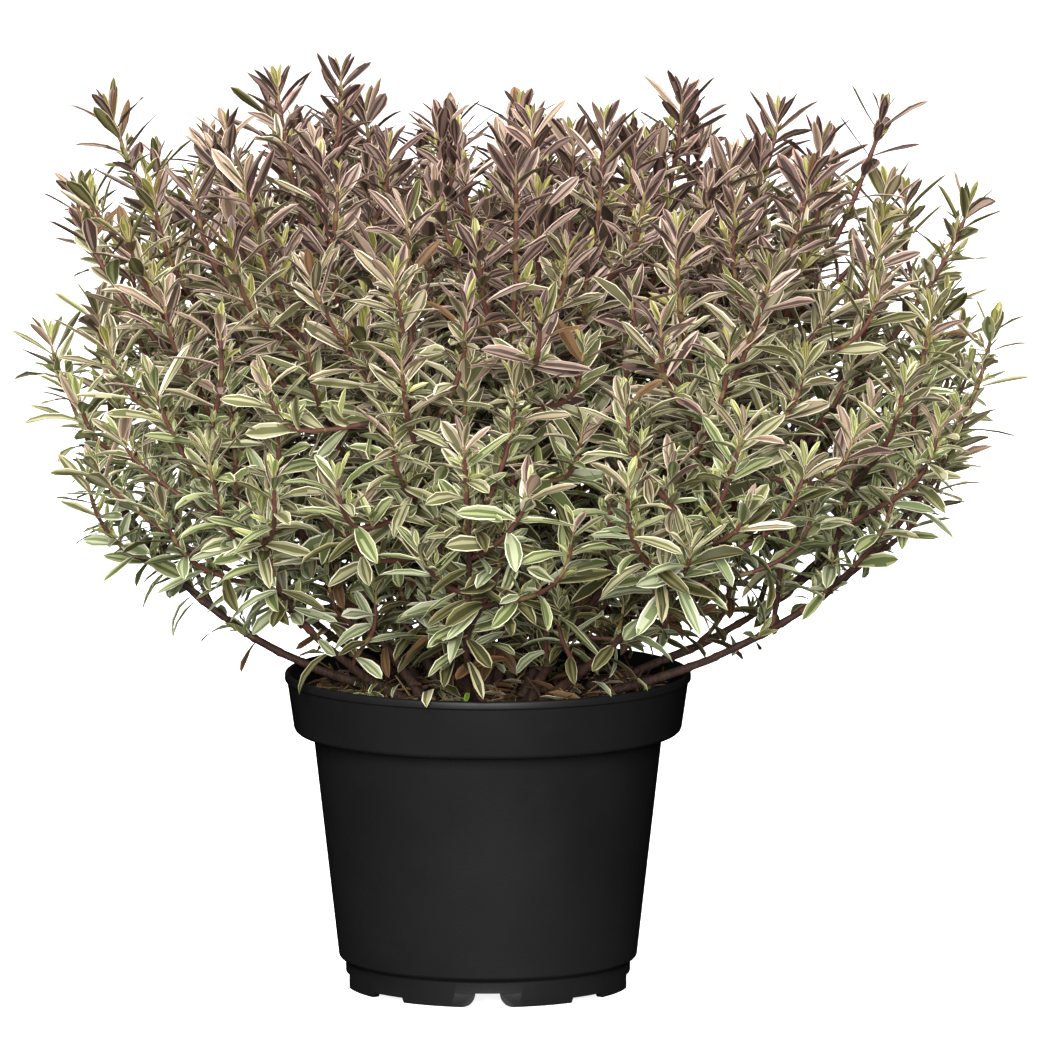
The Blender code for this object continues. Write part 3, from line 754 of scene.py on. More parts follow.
def body_radius(height):
    share = (height - BODY_BOTTOM_Z) / (LEDGE_Z - BODY_BOTTOM_Z)
    return between(BODY_BOTTOM_RADIUS, BODY_TOP_RADIUS, share)


def turned(profile, steps):
    """Turn a profile of radius, height and rounding about the pot's axis.

    One that starts on the axis is left open there, and any other is closed."""
    shape = bmesh.new()
    corners = [shape.verts.new((radius, 0.0, height)) for radius, height, _ in profile]
    after = corners[1:] if profile[0][0] == 0.0 else corners[1:] + corners[:1]
    for pair in zip(corners, after):
        shape.edges.new(pair)
    for corner, (_, _, rounding) in zip(corners, profile):
        if rounding > 0.0:
            bmesh.ops.bevel(
                shape, geom=[corner], affect="VERTICES", offset=rounding,
                segments=ROUNDING_STEPS, profile=0.5, material=-1,
            )
    bmesh.ops.spin(
        shape, geom=list(shape.verts) + list(shape.edges), axis=UP, cent=ORIGIN,
        angle=math.tau, steps=steps, use_merge=True,
    )
    bmesh.ops.remove_doubles(shape, verts=shape.verts, dist=WELD)
    bmesh.ops.recalc_face_normals(shape, faces=shape.faces)
    return shape


def prism(outline, near, far, turn):
    """An outline of width and height drawn out along Y and turned about the pot's axis."""
    shape = bmesh.new()
    face = shape.faces.new([shape.verts.new((x, near, z)) for x, z in outline])
    drawn = bmesh.ops.extrude_face_region(shape, geom=[face])
    moved = [item for item in drawn["geom"] if isinstance(item, bmesh.types.BMVert)]
    bmesh.ops.translate(shape, vec=(0.0, far - near, 0.0), verts=moved)
    bmesh.ops.rotate(shape, cent=ORIGIN, matrix=Matrix.Rotation(turn, 3, "Z"), verts=shape.verts)
    bmesh.ops.recalc_face_normals(shape, faces=shape.faces)
    return shape


def four_sided(foot_width, top_width, top):
    foot, half = foot_width / 2.0, top_width / 2.0
    return (-foot, BELOW_FOOT), (foot, BELOW_FOOT), (half, top), (-half, top)


def notch_outlines():
    """The recess, the flared mouth in it and the shallow notch, as width and height."""
    inner = NOTCH_MOUTH_TOP / 2.0
    flare = (NOTCH_MOUTH_BOTTOM - NOTCH_MOUTH_TOP) / 2.0
    mouth = []
    for step in range(NOTCH_STEPS + 1):
        angle = math.radians(90.0 * step / NOTCH_STEPS)
        mouth.append((inner + flare * (1.0 - math.cos(angle)), NOTCH_HEIGHT * (1.0 - math.sin(angle))))
    mouth.append((inner + flare, BELOW_FOOT))
    mouth += [(-x, z) for x, z in reversed(mouth)]
    recess = four_sided(NOTCH_WIDTH, NOTCH_WIDTH, NOTCH_HEIGHT)
    foot_width = SHALLOW_NOTCH_WIDTH + 2.0 * SHALLOW_NOTCH_FLARE
    return recess, mouth, four_sided(foot_width, SHALLOW_NOTCH_WIDTH, SHALLOW_NOTCH_HEIGHT)


def cut(base, cutters):
    """Take a collection of cutters out of a base, then drop them."""
    modifier = base.modifiers.new("notches", "BOOLEAN")
    modifier.operation = "DIFFERENCE"
    modifier.operand_type = "COLLECTION"
    modifier.collection = cutters
    modifier.solver = "EXACT"
    bpy.context.view_layer.update()
    mesh = bpy.data.meshes.new_from_object(base.evaluated_get(bpy.context.evaluated_depsgraph_get()))
    base.modifiers.remove(modifier)
    base.data = mesh
    for item in list(cutters.objects):
        bpy.data.objects.remove(item, do_unlink=True)
    bpy.data.collections.remove(cutters)


def make_pot():
    lip_bottom = POT_HEIGHT - LIP_HEIGHT
    floor_corner = FLOOR_TOP_Z + FLOOR_CORNER
    profile = (
        (FOOT_RADIUS, 0.0, 0.5),
        (FOOT_RADIUS + FOOT_TAPER, FOOT_HEIGHT, 0.5),
        (BODY_BOTTOM_RADIUS, BODY_BOTTOM_Z, 0.9),
        (BODY_TOP_RADIUS, LEDGE_Z, 0.8),
        (COLLAR_BOTTOM_RADIUS, LEDGE_Z, 2.4),
        (COLLAR_TOP_RADIUS, lip_bottom, 0.4),
        (LIP_RADIUS, lip_bottom + LIP_SLOPE, 0.3),
        (LIP_RADIUS, POT_HEIGHT, 1.1),
        (COLLAR_TOP_RADIUS - WALL, POT_HEIGHT, 0.9),
        (COLLAR_BOTTOM_RADIUS - WALL, LEDGE_Z + WALL, 0.6),
        (BODY_TOP_RADIUS - WALL, LEDGE_Z + WALL, 0.6),
        (body_radius(floor_corner) - WALL, floor_corner, 0.0),
        (FOOT_RADIUS - WALL, FLOOR_TOP_Z, 0.0),
        (DRAIN_RADIUS, FLOOR_TOP_Z, 0.0),
        (DRAIN_RADIUS, FLOOR_UNDERSIDE_Z, 0.0),
        (FOOT_RADIUS - FOOT_RING_WIDTH, FLOOR_UNDERSIDE_Z, 0.4),
        (FOOT_RADIUS - FOOT_RING_WIDTH, 0.0, 0.4),
    )
    pot = add_object("pot_shell", as_mesh(turned(profile, POT_STEPS), "pot_shell"))
    cutters = bpy.data.collections.new("notches")
    bpy.context.scene.collection.children.link(cutters)
    recess, mouth, slot = notch_outlines()
    outside = -FOOT_RADIUS - CUT_SLACK
    inside = -FOOT_RADIUS + FOOT_RING_WIDTH + CUT_SLACK
    for quarter in range(4):
        turn = math.radians(90.0 * quarter)
        for outline, far, more in (
            (recess, -FOOT_RADIUS + NOTCH_RECESS, 0.0), (mouth, inside, 0.0), (slot, inside, 45.0),
        ):
            cutter = prism(outline, outside, far, turn + math.radians(more))
            add_object("cutter", as_mesh(cutter, "cutter"), cutters)
    cut(pot, cutters)
    shape = bmesh.new()
    shape.from_mesh(pot.data)
    bpy.data.objects.remove(pot, do_unlink=True)
    show("pot_shell", finish_mesh(shape, "pot_shell", POT_SHARP), [black_plastic()], ["pot"])


def compost_height(x, y):
    """The uneven top of the compost, a little higher about the stems."""
    swell = sum(noise.noise(Vector((x, y, seed)) / width) * rise for seed, width, rise in COMPOST_SWELLS)
    mound = MOUND_RISE * max(0.0, 1.0 - math.hypot(x, y) / MOUND_RADIUS)
    return COMPOST_TOP_Z - COMPOST_SINK + swell + mound


def make_compost():
    wall = WALL + SEAT_GAP
    floor_corner = FLOOR_TOP_Z + FLOOR_CORNER
    slope = (COLLAR_TOP_RADIUS - COLLAR_BOTTOM_RADIUS) / (COLLAR_HEIGHT - LIP_HEIGHT)
    top_radius = COLLAR_BOTTOM_RADIUS + slope * (COMPOST_TOP_Z - LEDGE_Z - WALL) - wall - TOP_SLACK
    profile = [
        (0.0, FLOOR_TOP_Z + SEAT_GAP, 0.0),
        (FOOT_RADIUS - wall - WALL_SLACK, FLOOR_TOP_Z + SEAT_GAP, 0.0),
        (body_radius(floor_corner) - wall - WALL_SLACK, floor_corner + SEAT_GAP, 0.0),
        (BODY_TOP_RADIUS - wall, LEDGE_Z + WALL + SEAT_GAP, 0.0),
        (COLLAR_BOTTOM_RADIUS - wall, LEDGE_Z + WALL + SEAT_GAP, 0.0),
    ]
    for step in range(COMPOST_RINGS + 1):
        profile.append((top_radius * (1.0 - step / COMPOST_RINGS), COMPOST_TOP_Z, 0.0))
    shape = turned(profile, COMPOST_STEPS)
    for corner in shape.verts:
        if corner.co.z > COMPOST_TOP_Z - SEAT_GAP:
            corner.co.z = compost_height(corner.co.x, corner.co.y)
    mesh = finish_mesh(shape, "compost_ball", COMPOST_SHARP)
    show("compost_ball", mesh, [compost_finish()], ["root_ball"])


def lump_form():
    shape = bmesh.new()
    bmesh.ops.create_icosphere(shape, subdivisions=1, radius=1.0)
    points = np.array([tuple(corner.co) for corner in shape.verts])
    faces = [[corner.index for corner in face.verts] for face in shape.faces]
    shape.free()
    return points, faces


def make_crumbs():
    """Crumbs of peat and bark on the compost."""
    dice = random.Random(f"{SEED} crumbs")
    form, faces = lump_form()
    rng = np.random.default_rng(SEED)
    shares = [share for _, _, _, share in CRUMB_KINDS]
    shapes, slots = [], []
    for _ in range(CRUMBS):
        radius = CRUMB_SPREAD * math.sqrt(dice.random())
        angle = dice.uniform(0.0, math.tau)
        x, y = radius * math.cos(angle), radius * math.sin(angle)
        size = dice.choice(CRUMB_SIZES)
        stretch = np.array([dice.uniform(*spread) for spread in CRUMB_STRETCHES])
        turn = np.array(Matrix.Rotation(dice.uniform(0.0, math.tau), 3, "Z"))
        lump = (form * rng.uniform(*CRUMB_DENTS, (len(form), 1)) * stretch * size) @ turn.T
        shapes.append(lump + np.array([x, y, compost_height(x, y) + size * CRUMB_RISE]))
        slots.append(dice.choices(range(len(shares)), shares)[0])
    pile = Pile()
    pile.add_copies(np.array(shapes), faces, np.repeat(np.array(slots)[:, None], len(faces), axis=1))
    finishes = [plain_finish(name, colour, roughness) for name, colour, roughness, _ in CRUMB_KINDS]
    show_pile("crumbs", pile, CRUMB_SHARP, finishes, ["root_ball"])


# The plan of the crown, by the part's own rule


def direction(azimuth, elevation):
    level = math.cos(math.radians(elevation))
    return Vector((
        level * math.cos(math.radians(azimuth)),
        level * math.sin(math.radians(azimuth)),
        math.sin(math.radians(elevation)),
    ))


def crown_measure(point):
    """One on the crown's outline drawn in by a rosette's reach, less than one inside."""
    offset = Vector(point) - CROWN_CENTRE
    half_width, half_depth = CROWN_HALF_WIDTH - ROSETTE_REACH, CROWN_HALF_DEPTH - ROSETTE_REACH
    spread = math.hypot(offset.x / half_width, offset.y / half_depth)
    if offset.z > 0.0:
        leftness = (1.0 - math.cos(math.atan2(offset.y, offset.x))) / 2.0
        power = between(CROWN_RIGHT_POWER, CROWN_LEFT_POWER, leftness)
        height = offset.z / (CROWN_RISE - ROSETTE_REACH)
    else:
        power = CROWN_LOW_POWER
        height = -offset.z / (CROWN_DROP - ROSETTE_REACH)
    return (spread ** power + height ** power) ** (1.0 / power)


def outline_point(azimuth, elevation, reach):
    ray = direction(azimuth, elevation)
    return CROWN_CENTRE + ray * (reach / crown_measure(CROWN_CENTRE + ray))


def curve_points(handles, low, high, steps):
    """Points along part of a cubic curve, from a low to a high share of it."""
    start, first, second, end = handles
    points = []
    for step in range(steps + 1):
        share = low + (high - low) * step / steps
        rest = 1.0 - share
        points.append(
            start * rest ** 3
            + first * 3.0 * rest ** 2 * share
            + second * 3.0 * rest * share ** 2
            + end * share ** 3
        )
    return points


Limb = namedtuple("Limb", "name ring handles axis")


def plan_limbs():
    limbs = []
    for ring in RINGS:
        for index in range(ring.count):
            name = f"{ring.name}_{index + 1}"
            dice = random.Random(f"{SEED} {name}")
            azimuth = ring.turn + 360.0 * index / ring.count + either_way(dice, TURN_SPREAD)
            elevation = ring.tip_elevation + either_way(dice, TIP_SPREAD)
            leader = LEADERS.get(name, Leader(0.0, 0.0, 1.0))
            tip = outline_point(azimuth + leader.turn, elevation + leader.rise, leader.reach)
            base = direction(azimuth, 0.0) * ring.base_radius + UP * (COMPOST_TOP_Z + SEAT_GAP)
            handle = (tip - base).length * TIP_HANDLE
            bow = ARCH if name in ARCHING else ring
            first = base + direction(azimuth, bow.lean) * bow.lean_reach
            second = tip - direction(azimuth, bow.tip_rise) * handle
            handles = (base, first, second, tip)
            axis = curve_points(handles, ring.bare, 1.0, AXIS_STEPS)
            gap = (axis[1] - axis[0]).normalized() * SEAT_GAP
            limbs.append(Limb(name, ring, handles, [point + gap for point in axis]))
    return limbs


class Space:
    """Tells which points lie in one limb's own space, nearest to its stem."""

    def __init__(self, limbs):
        self.samples = np.array([[tuple(point) for point in limb.axis] for limb in limbs])

    def gaps(self, point):
        return np.linalg.norm(self.samples - np.array(point), axis=2).min(axis=1)

    def slack(self, point, owner):
        gaps = self.gaps(point)
        own = gaps[owner]
        gaps[owner] = np.inf
        return gaps.min() - own

    def holds(self, points, owner, margin):
        return all(self.slack(point, owner) > margin and clear_of_pot(point) for point in points)


def clear_of_pot(point):
    radius = math.hypot(point[0], point[1])
    if radius < LIP_RADIUS + RIM_CLEARANCE:
        return point[2] > POT_HEIGHT + RIM_CLEARANCE
    return point[2] > COMPOST_TOP_Z


def frames_along(points):
    """The direction and one steady crosswise direction at each point of a course."""
    frames = []
    across = None
    for index in range(len(points)):
        before = points[max(index - 1, 0)]
        after = points[min(index + 1, len(points) - 1)]
        way = (after - before).normalized()
        if across is None:
            across = way.orthogonal().normalized()
        across = (across - way * across.dot(way)).normalized()
        frames.append((way, across))
    return frames


class Course:
    """A growing line, read by the distance back from its tip."""

    def __init__(self, points):
        self.points = points
        self.frames = frames_along(points)
        steps = [(b - a).length for a, b in zip(points, points[1:])]
        self.from_base = [0.0]
        for step in steps:
            self.from_base.append(self.from_base[-1] + step)
        self.length = self.from_base[-1]

    def at(self, distance):
        """Place, direction and crosswise direction at a distance back from the tip."""
        along = self.length - distance
        index = int(np.searchsorted(self.from_base, along, side="right")) - 1
        index = min(max(index, 0), len(self.points) - 2)
        run = self.from_base[index + 1] - self.from_base[index]
        share = clamp((along - self.from_base[index]) / run)
        place = self.points[index].lerp(self.points[index + 1], share)
        way = self.frames[index][0].lerp(self.frames[index + 1][0], share).normalized()
        across = self.frames[index][1]
        return place, way, (across - way * across.dot(way)).normalized()


def side_handles(limb, owner, space, number, dice):
    """One side shoot by the part's rule, cut short where it would leave its space."""
    share = SIDE_FIRST + SIDE_STEP * number + either_way(dice, SIDE_SPREAD)
    axis = Course(limb.axis)
    start, way, across = axis.at(axis.length * (1.0 - share))
    roll = math.radians(90.0 * number + 180.0 * (number // 2) + either_way(dice, SIDE_TURN_SPREAD))
    outward = Matrix.Rotation(roll, 3, way) @ across
    angle = math.radians(SIDE_ANGLE)
    first_way = way * math.cos(angle) + outward * math.sin(angle)
    away = (start - CROWN_CENTRE).normalized()
    last_way = (first_way * SIDE_ON + UP * SIDE_UP + away * SIDE_OUT).normalized()
    reach = SIDE_LONGEST * dice.uniform(*SIDE_REACHES)
    while reach >= SIDE_SHORTEST:
        middle = start + first_way * reach * SIDE_PARTS[0]
        end = middle + last_way * reach * SIDE_PARTS[1]
        handles = (start, start.lerp(middle, SIDE_HANDLES[0]), middle.lerp(end, SIDE_HANDLES[1]), end)
        tests = curve_points(handles, 0.0, 1.0, 2)[1:]
        if crown_measure(end) <= 1.0 and space.holds(tests, owner, SHOOT_MARGIN):
            return handles
        reach -= SIDE_CUT
    return None


Shoot = namedtuple("Shoot", "course limb order woody")


def drawn_out(points, extra):
    """A course carried on a little past its end, bending upwards."""
    way = (points[-1] - points[-2]).normalized()
    points = list(points)
    for _ in range(EXTRA_STEPS):
        way = (way + UP * TIP_LIFT).normalized()
        points.append(points[-1] + way * (extra / EXTRA_STEPS))
    return points


def kinked(points, dice, amount):
    """Small kinks, as stems have at their nodes."""
    bent = [points[0]]
    for point in points[1:-1]:
        shift = Vector([either_way(dice, spread) for spread in (1.0, 1.0, KINK_RISE)])
        bent.append(point + shift * amount)
    return bent + [points[-1]]


def grow_main_shoots(limbs, space):
    """Each limb's own shoot and the side shoots that the part gives it."""
    shoots = []
    for owner, limb in enumerate(limbs):
        dice = random.Random(f"{SEED} foliage {limb.name}")
        bend = random.Random(f"{SEED} kinks {limb.name}")
        whole = kinked(curve_points(limb.handles, 0.0, 1.0, LIMB_STEPS), bend, LIMB_KINK)
        woody = Course(whole[: 1 + round(LIMB_STEPS * limb.ring.bare)]).length
        extra = OWN_EXTRA.get(limb.name, TIP_EXTRA)
        shoots.append(Shoot(Course(drawn_out(whole, extra)), owner, 0, woody))
        for number in range(SIDE_SHOOTS):
            handles = side_handles(limb, owner, space, number, dice)
            if handles:
                points = kinked(curve_points(handles, 0.0, 1.0, TWIG_STEPS), bend, TWIG_KINK)
                shoots.append(Shoot(Course(drawn_out(points, TIP_EXTRA)), owner, 1, 0.0))
    return shoots


def parent_places(shoots):
    """Places along the shoots that a finer shoot may leave from."""
    places = []
    for shoot in shoots:
        distance = PARENT_FIRST
        while distance < shoot.course.length - PARENT_LAST:
            place, way, _ = shoot.course.at(distance)
            if place.z > POT_HEIGHT + PARENT_RISE:
                places.append((place, way, shoot.limb))
            distance += PARENT_STEP
    return places


def fill_handles(target, owner, places, spots, fill):
    """The best way to a wanted tip from a place below it, and that place's limb, or nothing."""
    reach = np.linalg.norm(np.array(target) - spots, axis=1)
    best, best_cost = None, math.inf
    for index in np.nonzero((reach > fill.nearest) & (reach < fill.furthest))[0]:
        place, way, limb = places[index]
        toward = (target - place) / reach[index]
        turn = way.dot(toward)
        if turn < LEAST_TURN or toward.z < LEAST_RISE:
            continue
        cost = abs(reach[index] - fill.wanted) / REACH_COST + (1.0 - turn) * TURN_COST
        cost += 0.0 if limb == owner else STRANGER_COST
        if cost < best_cost:
            best, best_cost = index, cost
    if best is None:
        return None, owner
    place, way, limb = places[best]
    length = (target - place).length
    toward = (target - place) / length
    away = (target - CROWN_CENTRE).normalized()
    first_way = (way * START_ON + toward * START_TOWARD).normalized()
    last_way = (UP + away * END_OUT + toward * END_TOWARD).normalized()
    first = place + first_way * length * START_HANDLE
    return (place, first, target - last_way * length * END_HANDLE, target), limb


def grow_fill_shoots(shoots, space, fill):
    """Finer shoots to wanted tips spread over the outline, where no tip is near."""
    dice = random.Random(f"{SEED} fill {fill.name}")
    tips = [shoot.course.at(TIP_EXTRA)[0] for shoot in shoots]
    places = parent_places(shoots)
    spots = np.array([tuple(place) for place, _, _ in places])
    grown = []
    for number in range(FILL_TRIES):
        height = dice.uniform(*fill.heights)
        reach = dice.uniform(*fill.reaches) * (1.0 - TOP_DIP * max(height, 0.0))
        target = outline_point(dice.uniform(0.0, 360.0), math.degrees(math.asin(height)), reach)
        target += UP * dice.uniform(*FILL_DROPS)
        peak = fill is FILLS[0] and number < len(PEAKS)
        if peak:
            target = PEAKS[number]
        slope = LIFT_SLOPE if target.x > 0.0 else LEFT_LIFT_SLOPE
        lift = slope * max(0.0, math.hypot(target.x, target.y) - LIFT_FROM)
        crowded = min((target - tip).length for tip in tips) < fill.spacing
        if target.z < fill.lowest + lift or crowded and not peak:
            continue
        owner = int(np.argmin(space.gaps(target)))
        handles, limb = fill_handles(target, owner, places, spots, fill)
        if handles is None:
            continue
        points = kinked(curve_points(handles, 0.0, 1.0, TWIG_STEPS), dice, TWIG_KINK)
        if not all(clear_of_pot(point) for point in points[2:]):
            continue
        tips.append(target)
        grown.append(Shoot(Course(drawn_out(points, TIP_EXTRA)), limb, fill.order, 0.0))
    return grown


# Leaves


Leaf = namedtuple("Leaf", "root along upward length width fold bend twist margin tint")


def leaf_form(rows, strips):
    """Faces of a flat leaf of lengthwise strips that meet at its tip."""
    each = strips + 1
    faces = []
    for row in range(rows - 1):
        low, high = row * each, (row + 1) * each
        for strip in range(strips):
            faces.append((low + strip, low + strip + 1, high + strip + 1, high + strip))
    last, tip = (rows - 1) * each, rows * each
    for strip in range(strips):
        faces.append((last + strip, last + strip + 1, tip))
    return faces


def leaf_points(leaves, stations, halves, crossings, rng):
    """Every leaf's points: a folded row at each station, then the tip."""
    root, along, upward = (np.array([tuple(leaf[part]) for leaf in leaves]) for part in range(3))
    length, width, fold, bend, twist, margin = np.array([leaf[3:9] for leaf in leaves]).T[:, :, None]
    bend = np.where(np.abs(bend) < LEAST_BEND, LEAST_BEND, bend)
    side = np.cross(along, upward)

    def midrib(turn):
        return root + length * (along * (np.sin(turn) / bend) - upward * ((1.0 - np.cos(turn)) / bend))

    one_each = (len(leaves), 1)
    each = 2 * len(crossings) + 1
    points = np.empty((len(leaves), len(stations) * each + 1, 3))
    for row, (station, half) in enumerate(zip(stations, halves)):
        turn, roll = bend * station, twist * station
        normal = along * np.sin(turn) + upward * np.cos(turn)
        across = side * np.cos(roll) + normal * np.sin(roll)
        normal = normal * np.cos(roll) - side * np.sin(roll)
        middle, centre = midrib(turn), row * each + len(crossings)
        points[:, centre] = middle
        for hand in (-1, 1):
            reach = width / 2.0 * half * rng.uniform(*HALF_SPREAD, one_each)
            wave = rng.normal(0.0, EDGE_WAVE, one_each) * width
            cream = margin * rng.uniform(*MARGIN_SPREAD, one_each) / half
            inner = 1.0 - np.clip(cream, *MARGIN_LIMITS)
            for step, crossing in enumerate(crossings, 1):
                share = 1.0 if crossing is None else inner * crossing
                out = reach * share
                level, rise = hand * out * np.cos(fold), out * np.sin(fold) + wave * share
                points[:, centre + hand * step] = middle + across * level + normal * rise
    points[:, -1] = midrib(bend)
    return points


def leaf_tip(leaf):
    bend = leaf.bend if abs(leaf.bend) > LEAST_BEND else LEAST_BEND
    return leaf.root + (
        leaf.along * (math.sin(bend) / bend) - leaf.upward * ((1.0 - math.cos(bend)) / bend)
    ) * leaf.length


def height_share(z):
    """Nought where the foliage is greenest, low down, and one where it is mauve."""
    return clamp((z - GREEN_BELOW_Z) / (MAUVE_ABOVE_Z - GREEN_BELOW_Z))


def node_distances(length, gap_limit):
    distance, gap = FIRST_NODE, FIRST_GAP
    while distance < length:
        yield distance
        distance += gap
        gap = min(gap * GAP_GROWTH + GAP_ADD, gap_limit)


def leaf_tint(place, distance, drift, dice):
    """A tint for a leaf by its height, its age and its spray's own drift, with painted shade: leaves deep in
    the crown and low at its middle mostly take the dark shade tint, and now and then straw.
    """
    share = height_share(place.z)
    # Painted shade grows with a leaf's depth in the crown and, low down, with how near it is to the middle.
    depth = 1.0 - math.hypot(place.x - CROWN_CENTRE.x, place.y * SHADE_SQUEEZE) / SHADE_RADIUS
    inner = SHADE_DEPTH * depth * (1.0 - place.z / SHADE_TOP_Z)
    central = clamp(CENTRAL_REACH - abs(place.x - CROWN_CENTRE.x) / SHADE_RADIUS)
    low = LOW_SHADE * central * clamp((LOW_SHADE_Z - place.z) / LOW_SHADE_FADE)
    if place.z < FOOT_SHADE_Z:
        low *= FOOT_SHADE
    # Painted shade: a shaded leaf takes the darker shade tint in place of its own.
    if dice.random() < max(inner, low):
        return PAINTED_SHADE if inner < low or dice.random() < SHADED_GREEN else STRAW
    if distance > DEAD_FROM and dice.random() < DEAD_CHANCE:
        return STRAW
    if distance < FRESH_LENGTH + LOW_FRESH_LENGTH * (1.0 - share) and dice.random() < FRESH_TIP_CHANCE:
        return FRESH if share < 0.5 else BUD
    if distance < BLUSH_LENGTH and BLUSH_LOW < share < BLUSH_HIGH and dice.random() < BLUSH_CHANCE:
        return BLUSH
    young = YOUNG_MAUVE * max(0.0, 1.0 - distance / YOUNG_LENGTH) * share
    level = share * (LAST_PLAIN_TINT + CENTRAL_MAUVE * central) + young + drift + dice.gauss(0.0, TINT_SPREAD)
    return int(min(max(round(level), 0), LAST_PLAIN_TINT))


def inside_box(point):
    """True within the CAD's own box, with a little room for leaf tips."""
    spot = point * MM + POT_PLACE
    low, high = CAD_BOX
    return all(low[i] - BOX_SLACK < spot[i] < high[i] + BOX_SLACK for i in range(3))


def above_skirt(point):
    """True over the crown's lower edge at its right, which the camera sees clear of leaves."""
    seen = point.z + point.y * math.sin(math.radians(CAMERA_ELEVATION))
    edge = min(SKIRT_Z + SKIRT_SLOPE * (point.x - SKIRT_X), SKIRT_TOP_Z)
    return point.x < SKIRT_X or seen > edge


def add_leaf(leaves, leaf):
    tip = leaf_tip(leaf)
    if clear_of_pot(tip) and inside_box(tip) and above_skirt(tip) and leaf.root.z > POT_HEIGHT + RIM_GAP:
        leaves.append(leaf)


def upper_side(along, facing):
    """The upper side of a leaf that runs one way and faces another."""
    return (facing - along * facing.dot(along)).normalized()


def pair_ways(way, across, roll, tilt, droop, dice):
    """The two opposite leaves' directions and upper sides at a node."""
    for half in range(2):
        turn = math.radians(roll + 180.0 * half + either_way(dice, PAIR_SPREAD))
        angle = math.radians(tilt + either_way(dice, PAIR_SPREAD))
        outward = Matrix.Rotation(turn, 3, way) @ across
        under = max(0.0, -outward.z)
        along = way * math.cos(angle) + outward * math.sin(angle) + UP * (TURN_UP * under - droop)
        along.normalize()
        yield outward, along, upper_side(along, way + UP * FACE_UP)


def margin_share(dice):
    """How much of a leaf's half is cream; a few leaves are mostly cream."""
    return dice.uniform(*(CREAM_MARGINS if dice.random() < CREAM_CHANCE else MARGINS))


def grow_tuft(place, way, outward, size, dice, tufts, stalks):
    """A short shoot in a leaf's axil, with two or three small pairs."""
    share = height_share(place.z)
    lean = way * dice.uniform(*TUFT_ON) + outward * dice.uniform(*TUFT_OUT) + UP * TUFT_UP
    lean.normalize()
    stalk = STALK_LENGTH + STALK_GROWTH * size * dice.uniform(*STALK_SPREAD)
    tip = place + lean * stalk
    stalks.append((place, tip, STALK_RADIUS + STALK_THICKENING * size))
    across = lean.orthogonal().normalized()
    roll = dice.uniform(0.0, 180.0)
    tint = leaf_tint(place - UP * TUFT_TINT_DROP, TUFT_TINT_AGE, TUFT_TINT_DRIFT, dice)
    for pair in range(3 if size > FULL_TUFT else 2):
        root = tip - lean * min(TUFT_BACKS[pair], stalk * STALK_SHARE)
        length = (TUFT_LENGTH + TUFT_LENGTH_GROWTH * size) * TUFT_PARTS[pair] * dice.uniform(*TUFT_SPREAD)
        own = tint
        if pair < 2 and dice.random() < between(*FRESH_CHANCES, share) - FRESH_LOSS * pair:
            own = FRESH if share < 0.5 else BUD
        ways = pair_ways(lean, across, roll + 90.0 * pair, TUFT_TILTS[pair], TUFT_DROOP * pair, dice)
        for _, along, upward in ways:
            add_leaf(tufts, Leaf(
                root, along, upward, length, length * dice.uniform(*TUFT_WIDTHS),
                math.radians(dice.uniform(*TUFT_FOLDS)), dice.uniform(*TUFT_BENDS),
                either_way(dice, TUFT_TWIST), margin_share(dice), own,
            ))


